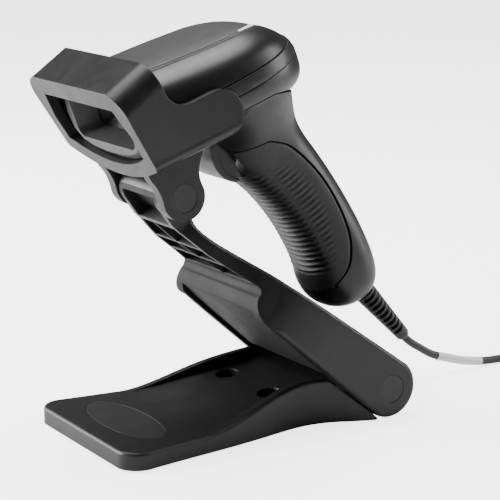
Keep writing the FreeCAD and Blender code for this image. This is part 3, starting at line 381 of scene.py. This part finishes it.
def lamp_plastic(name, strength):
    """Milky translucent plastic, softly lit from behind."""
    n = Nodes(name)
    cloud = n.spread(n.noise(2.5, 4.0), 0.0, 1.0)
    n.link(n.tint(cloud, (0.74, 0.76, 0.80), (0.92, 0.93, 0.95)), n.shader.inputs["Base Color"])
    n.link(n.bump(n.noise(0.4, 2.0), 0.01, 0.4), n.shader.inputs["Normal"])
    n.set(Roughness=0.28, Subsurface_Weight=0.3, Emission_Color=(1, 1, 1, 1), Emission_Strength=strength)
    return n.material


def window(name):
    """Smoked clear window over the optics, slightly smeared."""
    n = Nodes(name)
    smear = n.noise(7, 5.0, 1.0)
    tone = n.tint(n.spread(smear, 0, 1), (0.012, 0.010, 0.012), (0.022, 0.016, 0.018))
    n.link(tone, n.shader.inputs["Base Color"])
    n.link(n.spread(smear, 0.04, 0.13), n.shader.inputs["Roughness"])
    n.set(Transmission_Weight=0.72, IOR=1.49, Coat_Weight=0.4, Coat_Roughness=0.04)
    return n.material


def label_paper(name):
    """Blank white film wrapped round the cord, with soft creases whose valleys are painted darker as shade
    and whose crests are painted paler as light.
    """
    n = Nodes(name)
    crease = n.noise(2.2, 4.0, 1.5)
    # Painted shade and light: the crease noise sets both the bump and the tint, so the film is darker in the
    # valleys and paler on the crests.
    tone = n.tint(n.spread(crease, 0, 1), (0.70, 0.70, 0.69), (0.86, 0.86, 0.85))
    n.link(tone, n.shader.inputs["Base Color"])
    n.link(n.spread(crease, 0.30, 0.5), n.shader.inputs["Roughness"])
    n.link(n.bump(crease, 0.12, 0.7), n.shader.inputs["Normal"])
    return n.material


def board(name):
    """Circuit board under green mask, with faint tracks."""
    n = Nodes(name)
    tracks = n.spread(n.cells(1.6), 0.0, 1.0, 0.25, 0.35)
    n.link(n.tint(tracks, (0.01, 0.10, 0.04), (0.02, 0.17, 0.07)), n.shader.inputs["Base Color"])
    n.link(n.bump(tracks, 0.04, 0.8), n.shader.inputs["Normal"])
    n.set(Roughness=0.35)
    return n.material


STAND = moulded("stand_plastic", 0.0065, 0.40, edge=0.8)
CASING = moulded("casing_plastic", 0.006, 0.36, 0.26, 0.014)
BAND = moulded("band_plastic", 0.012, 0.34, 0.26, 0.012)
# Painted highlight: the bezel is the casing's plastic in a far lighter grey, standing in for the left light's
# reflection on the nose's ring.
PAINTED_BEZEL_HIGHLIGHT = moulded("bezel_painted_highlight", 0.045, 0.46, 0.26, 0.014)
PANEL = moulded("panel_plastic", 0.032, 0.46, 0.45, 0.03)
BADGE = moulded("badge_plastic", 0.020, 0.36, 0.22, 0.01)
CAP = moulded("cap_plastic", 0.019, 0.47, 0.40, 0.03)
GRIP = rubber("grip_rubber", 0.011, 0.50)
BOOT = rubber("boot_rubber", 0.018, 0.47)
CABLE = rubber("cable_jacket", 0.018, 0.42)
FOOT = rubber("foot_rubber", 0.022, 0.7)
STEEL = metal("steel", 0.55, 0.32)
WASHER = moulded("washer_plastic", 0.55, 0.4)
LAMP = lamp_plastic("light_guide", 0.6)
LED = lamp_plastic("led_lens", 0.05)
GLASS = window("scan_window_glass")
LABEL = label_paper("blank_label")
BOARD = board("circuit_board")
# Nearly black: the inner parts' own dark colour, and painted shade where it darkens the arm's hollows and its
# underside cover.
DARK_INNER_AND_PAINTED_SHADE = moulded("inner_black_and_painted_shade", 0.003, 0.72)


# ---------------------------------------------------------------- stand: the CAD nodes stay

WELD_REACH, SHARP_EDGE = 0.002 * MM, math.radians(32)


def dress(names, material):
    """Smooths a CAD node's shading with modifiers and gives it its material."""
    for name in names:
        node = frame["nodes"][name]
        node.data.materials.clear()
        node.data.materials.append(material)
        for face in node.data.polygons:
            face.use_smooth = True
        weld = node.modifiers.new("weld", "WELD")
        weld.merge_threshold = WELD_REACH
        split = node.modifiers.new("edges", "EDGE_SPLIT")
        split.split_angle = SHARP_EDGE
        normal = node.modifiers.new("normals", "WEIGHTED_NORMAL")
        normal.keep_sharp = True


def paint_shade_in_pockets(arm):
    """Paints shade into the floors of the arm's hollows, its channel and its lip by giving them their own,
    nearly black material.
    """
    arm.data.materials.append(DARK_INNER_AND_PAINTED_SHADE)
    hinge = Vector(LOWER_HINGE)
    along = Vector((0, math.cos(ARM_LEAN), -math.sin(ARM_LEAN)))
    out = Vector((0, math.sin(ARM_LEAN), math.cos(ARM_LEAN)))
    for face in arm.data.polygons:
        place = (face.center - hinge) / MM
        depth, reach = place.dot(out), place.dot(along)
        tilt = face.normal.dot(out)
        between_cheeks = reach >= LATTICE_START and abs(place.x) < CHEEK_INNER
        pocket_floor = tilt < FLOOR_FACING and reach < LATTICE_START and depth > LATTICE_EDGE
        channel_floor = tilt < FLOOR_FACING and between_cheeks
        lip = tilt < LIP_FACING and between_cheeks and reach < LIP_END
        if pocket_floor or channel_floor or lip:
            # These faces sit in the arm's hollows and under its lip, where shade falls; the nearly black
            # material paints that shade.
            face.material_index = 1


def dress_stand():
    dress(("base_shell", "arm_shell", "cradle"), STAND)
    paint_shade_in_pockets(frame["nodes"]["arm_shell"])
    # Painted shade: the arm cover under the arm gets the nearly black material to show the shade there; the
    # other parts here take it as their own dark colour.
    dress(("bottom_cover", "arm_cover", "scan_engine", "beeper", "trigger_switch"), DARK_INNER_AND_PAINTED_SHADE)
    dress(("badge_plate",), BADGE)
    dress(("lower_hinge_caps", "upper_hinge_caps"), CAP)
    dress(("lower_washers", "upper_washers"), WASHER)
    dress(("rubber_feet",), FOOT)
    dress(("base_weight", "lower_pin", "upper_pin", "cover_screws", "trigger_pin", "trigger_spring",
           "shield_can", "engine_bracket"), STEEL)
    dress(("main_board", "trigger_board"), BOARD)
    dress(("illumination_leds", "status_led"), LED)
    # Painted highlight: the nose bezel's lighter grey stands in for a reflection.
    dress(("nose_bezel",), PAINTED_BEZEL_HIGHLIGHT)
    dress(("scan_window", "imager_lens", "aimer_lens"), GLASS)


# ---------------------------------------------------------------- scanner casing

def head_rings(inset, front=0.0, steps=6, sides=112):
    """Rings along the head, drawn in by inset; front carries the first ring on ahead of the nose."""
    rings = []
    for step in range((len(HEAD) - 1) * steps + 1):
        y, half, bottom, top = column(HEAD, step / steps)
        middle, height = (bottom + top) / 2, (top - bottom) / 2
        half_x, half_z = half - min(inset, half * MOST_INSET), height - min(inset, height * MOST_INSET)
        ring = [squared_oval(2 * math.pi * k / sides, half_x, half_z, HEAD_POWER) for k in range(sides)]
        rear_inset = inset if step / steps > REAR_ROW else 0.0
        rings.append([Vector((x, y - rear_inset, middle + z)) for x, z in ring])
    if front:
        rings.insert(0, [p - Vector((0, front, 0)) for p in rings[0]])
    return rings


def handle_point(z, angle, offset=0.0):
    """A point on the handle's skin; angle 0 is its front middle and pi its back."""
    _, front, back, half = at_key(HANDLE, z)
    middle, depth = (front + back) / 2, (back - front) / 2
    x, y = squared_oval(angle - math.pi / 2, half + offset, depth + offset, HANDLE_POWER)
    return Vector((x, middle + y, z))


def handle_rings(steps=5, sides=96):
    rings = []
    for step in range((len(HANDLE) - 1) * steps + 1):
        z, front, back, half = column(HANDLE, step / steps)
        middle, depth = (front + back) / 2, (back - front) / 2
        ring = [squared_oval(2 * math.pi * k / sides, half, depth, HANDLE_POWER) for k in range(sides)]
        rings.append([Vector((x, middle + y, z)) for x, y in ring])
    return rings


def slab(name, low, high):
    corners = [(-CUT_SIDE, CUT_FRONT), (CUT_SIDE, CUT_FRONT), (CUT_SIDE, CUT_BACK), (-CUT_SIDE, CUT_BACK)]
    return prism(name, corners, low, high, upward)


def seam_points(drop):
    """The lower seam's curve in (y, z), lowered by drop."""
    last = len(LOWER_SEAM) - 1
    rows = (column(LOWER_SEAM, k * last / SEAM_STEPS) for k in range(SEAM_STEPS + 1))
    return [(y, z - drop) for y, z in rows]


def under_seam(name, drop):
    """Everything below the lower seam."""
    front, rear = LOWER_SEAM[0][1] - drop, LOWER_SEAM[-1][1] - drop
    below = [(CUT_BACK, rear), (CUT_BACK, CUT_DOWN), (CUT_FRONT, CUT_DOWN), (CUT_FRONT, front)]
    return prism(name, seam_points(drop) + below, -CUT_SIDE, CUT_SIDE, across)


def tear(half, tip, nose, count=40):
    """Plan outline of the top panel: straight front, full sides, round rear tip."""
    right = [(half - 1.2, nose), (half - 0.5, (nose + TEAR_WIDEST) / 2)]
    for k in range(count + 1):
        angle = math.pi / 2 * k / count
        rise = math.sin(angle) ** (2 / TEAR_POWER)
        right.append((half * math.cos(angle), TEAR_WIDEST + (tip - TEAR_WIDEST) * rise))
    return right + [(-x, y) for x, y in right[-2::-1]]


def tear_prism(name, half, tip, nose):
    return prism(name, tear(half, tip, nose), 36, 75, upward)


def casing_pieces():
    """The head's three casing rings, cut from one form at the seams, then the panel and the handle."""
    hollow = loft("hollow", head_rings(WALL, front=NOSE_OPENING, steps=3, sides=56))
    top = loft("casing_top", head_rings(TOP_INSET))
    boolean(top, "INTERSECT", slab("top_slab", RIDGE + SEAM_GAP, CUT_UP))
    boolean(top, "DIFFERENCE", tear_prism("panel_hole", *PANEL_HOLE))
    band = loft("casing_band", head_rings(BAND_INSET))
    boolean(band, "INTERSECT", slab("band_slab", UPPER_SEAM + SEAM_GAP, RIDGE))
    lower = boolean(loft("casing_lower", head_rings(0.0)), "INTERSECT", slab("lower_slab", 5, UPPER_SEAM))
    boolean(lower, "DIFFERENCE", under_seam("lower_trim", 0.0))
    for piece, node_name, material, slot in (
            (top, "top_shell", CASING, "casing_plastic"), (band, "middle_band", BAND, "band_plastic"),
            (lower, "lower_shell", CASING, "casing_plastic")):
        boolean(piece, "DIFFERENCE", hollow, keep_tool=True)
        soften(piece, 0.22, 2)
        finish(piece, material, slot, "scanner", node_name)
    top_panel()
    handle_body(hollow)


def crescent(name, inner, outer, nose):
    """The rear end of a tear-shaped ring; inner and outer are each a half width and a rear tip."""
    ring = tear_prism(name, *outer, 0)
    boolean(ring, "DIFFERENCE", tear_prism(name + "_core", *inner, -5))
    rear = [(-40, nose), (40, nose), (40, 90), (-40, 90)]
    return boolean(ring, "INTERSECT", prism(name + "_keep", rear, 30, 80, upward))


def top_panel():
    """The tear-drop panel with its ring groove, and the light guide in its rear tip."""
    panel = loft("casing_panel", head_rings(PANEL_INSET))
    boolean(panel, "INTERSECT", tear_prism("panel_form", *PANEL_EDGE))
    groove = tear_prism("groove", *GROOVE_OUTER)
    boolean(groove, "DIFFERENCE", tear_prism("groove_core", *GROOVE_INNER))
    boolean(groove, "DIFFERENCE", loft("groove_floor", head_rings(GROOVE_INSET)))
    boolean(panel, "DIFFERENCE", groove)
    boolean(panel, "DIFFERENCE", crescent("guide_seat", (19.5, 64.7), (20.6, 67.6), 52))
    boolean(panel, "DIFFERENCE", slab("panel_under", 20, PANEL_UNDERSIDE))
    soften(panel, 0.15, 2)
    finish(panel, PANEL, "panel_plastic", "scanner", "top_panel")
    guide = loft("casing_light", head_rings(GUIDE_INSET))
    boolean(guide, "INTERSECT", crescent("guide_form", (19.6, 64.8), (20.5, 67.5), 52.1))
    boolean(guide, "DIFFERENCE", slab("guide_under", 20, PANEL_UNDERSIDE))
    soften(guide, 0.2, 2)
    finish(guide, LAMP, "light_plastic", "scanner", "status_light_guide")


@lru_cache(maxsize=None)
def grip_angle(z, margin=0.0):
    """How far round the handle the grip reaches at a height, from its front middle."""
    edge = at_key(GRIP_BACK_EDGE, z)[1] + margin
    _, front, back, _ = at_key(HANDLE, z)
    share = max(-1.0, min(1.0, (edge - (front + back) / 2) / ((back - front) / 2)))
    sine = math.copysign(abs(share) ** (HANDLE_POWER / 2), share)
    return math.asin(sine) + math.pi / 2


def grip_sheet(offset_at, margin, rows, columns, low=GRIP_LOW, high=GRIP_HIGH):
    """A grid over the front of the handle: rows down it, columns from one back edge to the other."""
    grid = []
    for r in range(rows + 1):
        z = high + (low - high) * r / rows
        reach = grip_angle(z, margin)
        grid.append([handle_point(z, reach * (2 * c / columns - 1), offset_at(z, 2 * c / columns - 1))
                     for c in range(columns + 1)])
    return grid


def closed_sheet(name, outer, inner):
    """Two matching grids joined round their edges into a solid."""
    rows, columns = len(outer), len(outer[0])
    points = [p for row in outer for p in row] + [p for row in inner for p in row]
    shift = rows * columns

    def at(r, c, side):
        return r * columns + c + side * shift

    faces = [(at(r, c, s), at(r, c + 1, s), at(r + 1, c + 1, s), at(r + 1, c, s))
             for s in (0, 1) for r in range(rows - 1) for c in range(columns - 1)]
    for r in range(rows - 1):
        for c in (0, columns - 1):
            faces.append((at(r, c, 0), at(r + 1, c, 0), at(r + 1, c, 1), at(r, c, 1)))
    for c in range(columns - 1):
        for r in (0, rows - 1):
            faces.append((at(r, c, 0), at(r, c + 1, 0), at(r, c + 1, 1), at(r, c, 1)))
    return from_points(name, points, faces)


def smoothstep(low, high, value):
    share = max(0.0, min(1.0, (value - low) / (high - low)))
    return share * share * (3 - 2 * share)


def rib_offset(z, across_share):
    """Height of the grip's skin: deep saw-tooth ribs in front, fine ones on the flanks, a rounded rim."""
    reach = grip_angle(z)
    angle = abs(across_share) * reach
    point = handle_point(z, angle)
    phase = (point.dot(HANDLE_AXIS) / RIB_PITCH) % 1.0
    tooth = 1 - abs(2 * phase - 1) ** TOOTH_POWER
    ends = smoothstep(*RIBS_TOP, z) * smoothstep(*RIBS_BOTTOM, z)
    front = 1 - smoothstep(*FRONT_FADE, angle)
    fade_start, fade_end = (reach - before for before in FLANK_FADE)
    flank = smoothstep(*FLANK_RISE, angle) * (1 - smoothstep(fade_start, fade_end, angle))
    rim = (1 - abs(across_share)) * reach * MM_PER_RADIAN
    edge = -RIM_DROP * (1 - smoothstep(0.0, RIM_WIDTH, rim)) ** 2
    ribs = front * (FRONT_TOOTH * tooth - FRONT_DROP) + flank * (FLANK_TOOTH * tooth - FLANK_DROP)
    return SKIN_RAISE + edge + ends * ribs


def grip():
    outer = grip_sheet(rib_offset, 0.0, *GRIP_GRID)
    inner = grip_sheet(lambda z, share: -GRIP_THICKNESS, 0.0, *GRIP_GRID)
    piece = closed_sheet("grip", outer, inner)
    boolean(piece, "DIFFERENCE", trigger_slot("grip_slot"))
    finish(piece, GRIP, "rubber", "scanner", "rubber_grip", sharp=60)


def trigger_slot(name):
    """The opening the trigger sits in: open at the front, with a round rear wall."""
    angles = [math.pi * (k / SLOT_STEPS - 0.5) for k in range(SLOT_STEPS + 1)]
    y, z = SLOT_CENTRE
    rear = [(y + SLOT_DEPTH * math.cos(a), z + SLOT_HEIGHT * math.sin(a)) for a in angles]
    return prism(name, [(SLOT_FRONT, SLOT_LOW), *rear, (SLOT_FRONT, SLOT_TOP)], -SLOT_HALF, SLOT_HALF, across)


def handle_body(hollow):
    """The handle and the underside of the head in one moulding, blended where they meet."""
    body = loft("casing_handle", handle_rings())
    boolean(body, "UNION", loft("head_for_handle", head_rings(0.0)))
    remesh = body.modifiers.new("remesh", "REMESH")
    remesh.mode, remesh.voxel_size = "VOXEL", BLEND_VOXEL
    smooth = body.modifiers.new("smooth", "SMOOTH")
    smooth.factor, smooth.iterations = BLEND_STRENGTH, BLEND_PASSES
    baked(body)
    boolean(body, "INTERSECT", under_seam("body_region", SEAM_GAP))
    boolean(body, "DIFFERENCE", hollow)
    seat = (SEAT_MARGIN, *SEAT_GRID, SEAT_LOW, SEAT_HIGH)
    seat_outer = grip_sheet(lambda z, share: SEAT_OUT, *seat)
    seat_inner = grip_sheet(lambda z, share: -SEAT_DEPTH, *seat)
    boolean(body, "DIFFERENCE", closed_sheet("grip_seat", seat_outer, seat_inner))
    boolean(body, "DIFFERENCE", trigger_slot("body_slot"))
    finish(body, CASING, "casing_plastic", "scanner", "handle_shell", sharp=42)
    grip()


# ---------------------------------------------------------------- trigger, boot, cord and plug

def arc_points(centre, radius, start, end, count):
    angles = [math.radians(start + (end - start) * k / count) for k in range(count + 1)]
    return [(centre[0] + radius * math.cos(a), centre[1] + radius * math.sin(a)) for a in angles]


def trigger():
    """A rounded finger pad on a drum-sided carrier, with a crescent groove between them."""
    front = arc_points(*PAD_FRONT, 40)
    rear = [CARRIER_FOOT, *arc_points(*CARRIER_REAR, 24), CARRIER_TOP]
    carrier_half = TRIGGER_HALF - CARRIER_STEP
    carrier = prism("trigger_pad", front + rear, -carrier_half, carrier_half, across)
    soften(carrier, 1.8, 5, 40)
    pad = prism("pad", front + arc_points(*PAD_BACK, 40), -TRIGGER_HALF, TRIGGER_HALF, across)
    soften(pad, 2.6, 7, 40)
    boolean(carrier, "UNION", pad)
    finish(carrier, BAND, "band_plastic", "trigger", "trigger", sharp=40)


def tube(name, centres, radius_at, sides):
    """A round sweep along centres; radius_at(share, angle) gives the skin's distance."""
    rings = []
    for index, centre in enumerate(centres):
        before, after = centres[max(0, index - 1)], centres[min(len(centres) - 1, index + 1)]
        forward = (after - before).normalized()
        side = Vector((1, 0, 0))
        up = side.cross(forward).normalized()
        share = index / (len(centres) - 1)
        ring = []
        for k in range(sides):
            angle = 2 * math.pi * k / sides
            radius = radius_at(share, angle)
            ring.append(centre + side * radius * math.cos(angle) + up * radius * math.sin(angle))
        rings.append(ring)
    return loft(name, rings)


def boot_radius(share, angle):
    """Tapered strain relief: ring slots on both flanks, solid spines above and below."""
    place = share * BOOT_LENGTH
    radius = BOOT_ROOT - BOOT_TAPER * share
    to_end = min(share, 1 - share)
    if to_end < BOOT_END_SHARE:
        radius -= BOOT_END_ROUND * (1 - to_end / BOOT_END_SHARE)
    started = smoothstep(BOOT_SLOTS_START, BOOT_SLOTS_START + BOOT_SLOT_RAMP, place)
    ended = smoothstep(BOOT_SLOTS_END, BOOT_SLOTS_END + BOOT_SLOT_RAMP, place)
    phase = ((place - BOOT_SLOTS_START) / BOOT_SLOT_PITCH) % 1.0
    slot = smoothstep(0.18, 0.30, phase) * (1 - smoothstep(0.70, 0.82, phase))
    flank = smoothstep(0.42, 0.58, abs(math.cos(angle)))
    return radius - BOOT_SLOT_DEPTH * started * (1 - ended) * slot * flank


def flex(piece):
    """Bakes the piece's placement into its mesh; it is not bent."""
    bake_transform(piece)


def boot():
    places = [BOOT_INSET + BOOT_LENGTH * k / BOOT_STEPS for k in range(BOOT_STEPS + 1)]
    centres = [BOOT_START + BOOT_AXIS * place for place in places]
    skin = tube("cord_boot_skin", centres, boot_radius, 64)
    flex(finish(skin, BOOT, "rubber", None, "cord_boot", sharp=50))


def smooth_path(points, steps):
    rows = [tuple(p) for p in points]
    return [Vector(column(rows, k / steps)) for k in range((len(rows) - 1) * steps + 1)]


def cord_points():
    """The cord's middle line in the world, in millimetres: out of the boot, then down on to the desk."""
    straight = [SCANNER @ (BOOT_START + BOOT_AXIS * place) / MM for place in CORD_IN_BOOT]
    return straight + [Vector((0, y, z)) for y, z in CORD_ON_DESK]


def sleeve_radius(share, angle):
    """The label's skin where it wraps the cord, with soft creases."""
    return SLEEVE_RADIUS + CREASE_DEPTH * math.sin(CREASES_ROUND * angle + CREASES_ALONG * share)


def cord():
    centres = smooth_path(cord_points(), 14)
    cable = tube("cable", centres, lambda share, angle: CORD_RADIUS, 28)
    flex(finish(cable, CABLE, "cable", None, "cord_lead", "cord", matrix=WORLD))
    wrapped = [c for c in centres if SLEEVE_START <= c.y <= SLEEVE_END]
    skin = tube("blank_sleeve", wrapped, sleeve_radius, 32)
    finish(skin, LABEL, "label_white", "cord_end", "cord_sleeve", matrix=WORLD)


def rounded_block(name, low, high, radius, segments=4):
    corners = [(low[0], low[1]), (high[0], low[1]), (high[0], high[1]), (low[0], high[1])]
    return soften(prism(name, corners, low[2], high[2], upward), radius, segments)


def plug():
    """The plug's notched grip and its metal shell, each sized from the CAD node it stands for."""
    body_low, body_high = (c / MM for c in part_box("usb_plug"))
    body = rounded_block("plug_grip", body_low, body_high, 1.5, 5)
    for k in range(NOTCHES):
        for side in (-1, 1):
            x = side * (body_high.x - 1.2 + 1.6)
            y = body_low.y + NOTCH_START + NOTCH_PITCH * k
            notch = rounded_block("plug_notch", (x - 2.0, y, -1), (x + 2.0, y + NOTCH_WIDTH, 9), 0.3)
            boolean(body, "DIFFERENCE", notch)
    finish(body, CABLE, "part_black", "cord_end", "usb_plug", matrix=WORLD)
    low, high = (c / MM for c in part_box("plug_shell"))
    shell = rounded_block("plug_metal", low, high, 0.4)
    mouth_low, mouth_high = (low.x + 0.4, low.y + 1, low.z + 2.2), (high.x - 0.4, high.y + 3, high.z - 0.4)
    boolean(shell, "DIFFERENCE", rounded_block("plug_mouth", mouth_low, mouth_high, 0.1))
    near, far = high.y - 8, high.y - 5.6
    for x in (-2.6, 2.6):
        corners = [(x - 1, near), (x + 1, near), (x + 1, far), (x - 1, far)]
        boolean(shell, "DIFFERENCE", prism("plug_window", corners, high.z - 0.5, high.z + 1, upward))
    finish(shell, STEEL, "steel", "cord_end", "plug_shell", matrix=WORLD)


# ---------------------------------------------------------------- floor, light and camera

AZIMUTH, ELEVATION = math.radians(57.3), math.radians(13.0)
LEVEL = math.cos(ELEVATION)
LOOK = Vector((-math.sin(AZIMUTH) * LEVEL, math.cos(AZIMUTH) * LEVEL, -math.sin(ELEVATION)))
RIGHT = Vector((math.cos(AZIMUTH), math.sin(AZIMUTH), 0))
CAMERA_PLACE, LENS, SENSOR = (0.6388, -0.3979, 0.2513), 126, 36
CENTRE = Vector((0, 0.01, 0.08))
FLOOR_HALF, FLOOR_GLOW, BACKDROP_GLOW, ROOM_LIGHT = 6, 3.2, 4.5, 0.12

# Lights: name, offset (right, up, towards the camera), size, power, and a height if it has a fixed one.
LIGHTS = (
    ("key_top", (-0.15, 1.25, -0.25), (0.9, 0.9), 25, None),
    ("left_wall", (-1.1, 0.35, -0.15), (0.7, 0.9), 27, None),
    ("right_wall", (1.1, 0.55, -0.35), (0.5, 1.0), 9, None),
    ("floor_glow", (-0.62, 0.0, -0.35), (0.6, 0.5), 3, 0.01),
)


def floor():
    half = FLOOR_HALF
    corners = [(-half, -half, 0), (half, -half, 0), (half, half, 0), (-half, half, 0)]
    sheet = from_points("floor", corners, [(0, 1, 2, 3)])
    n = Nodes("floor_white")
    n.link(n.tint(n.noise(400, 2.0), grey(0.90, 1.0), grey(0.93, 1.0)), n.shader.inputs["Base Color"])
    n.set(Roughness=0.6, Specular_IOR_Level=0.2, Emission_Color=(1, 1, 1, 1))
    n.link(n.seen_only(FLOOR_GLOW), n.shader.inputs["Emission Strength"])
    sheet.data.materials.append(n.material)


def softbox(name, offset, size, power, height):
    """A soft rectangular light facing the object; offset is (right, up, towards the camera) in metres."""
    data = bpy.data.lights.new(name, "AREA")
    data.shape, data.size, data.size_y, data.energy = "RECTANGLE", size[0], size[1], power
    light = bpy.data.objects.new(name, data)
    bpy.context.scene.collection.objects.link(light)
    light.location = CENTRE + RIGHT * offset[0] + Vector((0, 0, offset[1])) - LOOK * offset[2]
    if height is not None:
        light.location.z = height
    light.rotation_euler = (CENTRE - light.location).to_track_quat("-Z", "Y").to_euler()
    light.visible_camera = False


def backdrop():
    """A white room to the camera, which lights the object only a little."""
    world = bpy.data.worlds.new("studio")
    bpy.context.scene.world = world
    world.use_nodes = True
    tree = world.node_tree
    seen, light = tree.nodes["Background"], tree.nodes.new("ShaderNodeBackground")
    seen.inputs["Color"].default_value = (1, 1, 1, 1)
    seen.inputs["Strength"].default_value = BACKDROP_GLOW
    light.inputs["Color"].default_value = (0.93, 0.96, 1.0, 1)
    light.inputs["Strength"].default_value = ROOM_LIGHT
    path, mix = tree.nodes.new("ShaderNodeLightPath"), tree.nodes.new("ShaderNodeMixShader")
    tree.links.new(path.outputs["Is Camera Ray"], mix.inputs["Fac"])
    tree.links.new(light.outputs["Background"], mix.inputs[1])
    tree.links.new(seen.outputs["Background"], mix.inputs[2])
    tree.links.new(mix.outputs["Shader"], tree.nodes["World Output"].inputs["Surface"])


def studio():
    backdrop()
    for light in LIGHTS:
        softbox(*light)


def camera():
    data = bpy.data.cameras.new("camera")
    data.lens, data.sensor_width = LENS, SENSOR
    data.clip_start = 0.01
    seat = bpy.data.objects.new("camera", data)
    bpy.context.scene.collection.objects.link(seat)
    seat.location = CAMERA_PLACE
    seat.rotation_euler = LOOK.to_track_quat("-Z", "Y").to_euler()
    bpy.context.scene.camera = seat


def main():
    dress_stand()
    casing_pieces()
    trigger()
    boot()
    cord()
    plug()
    floor()
    studio()
    camera()


main()
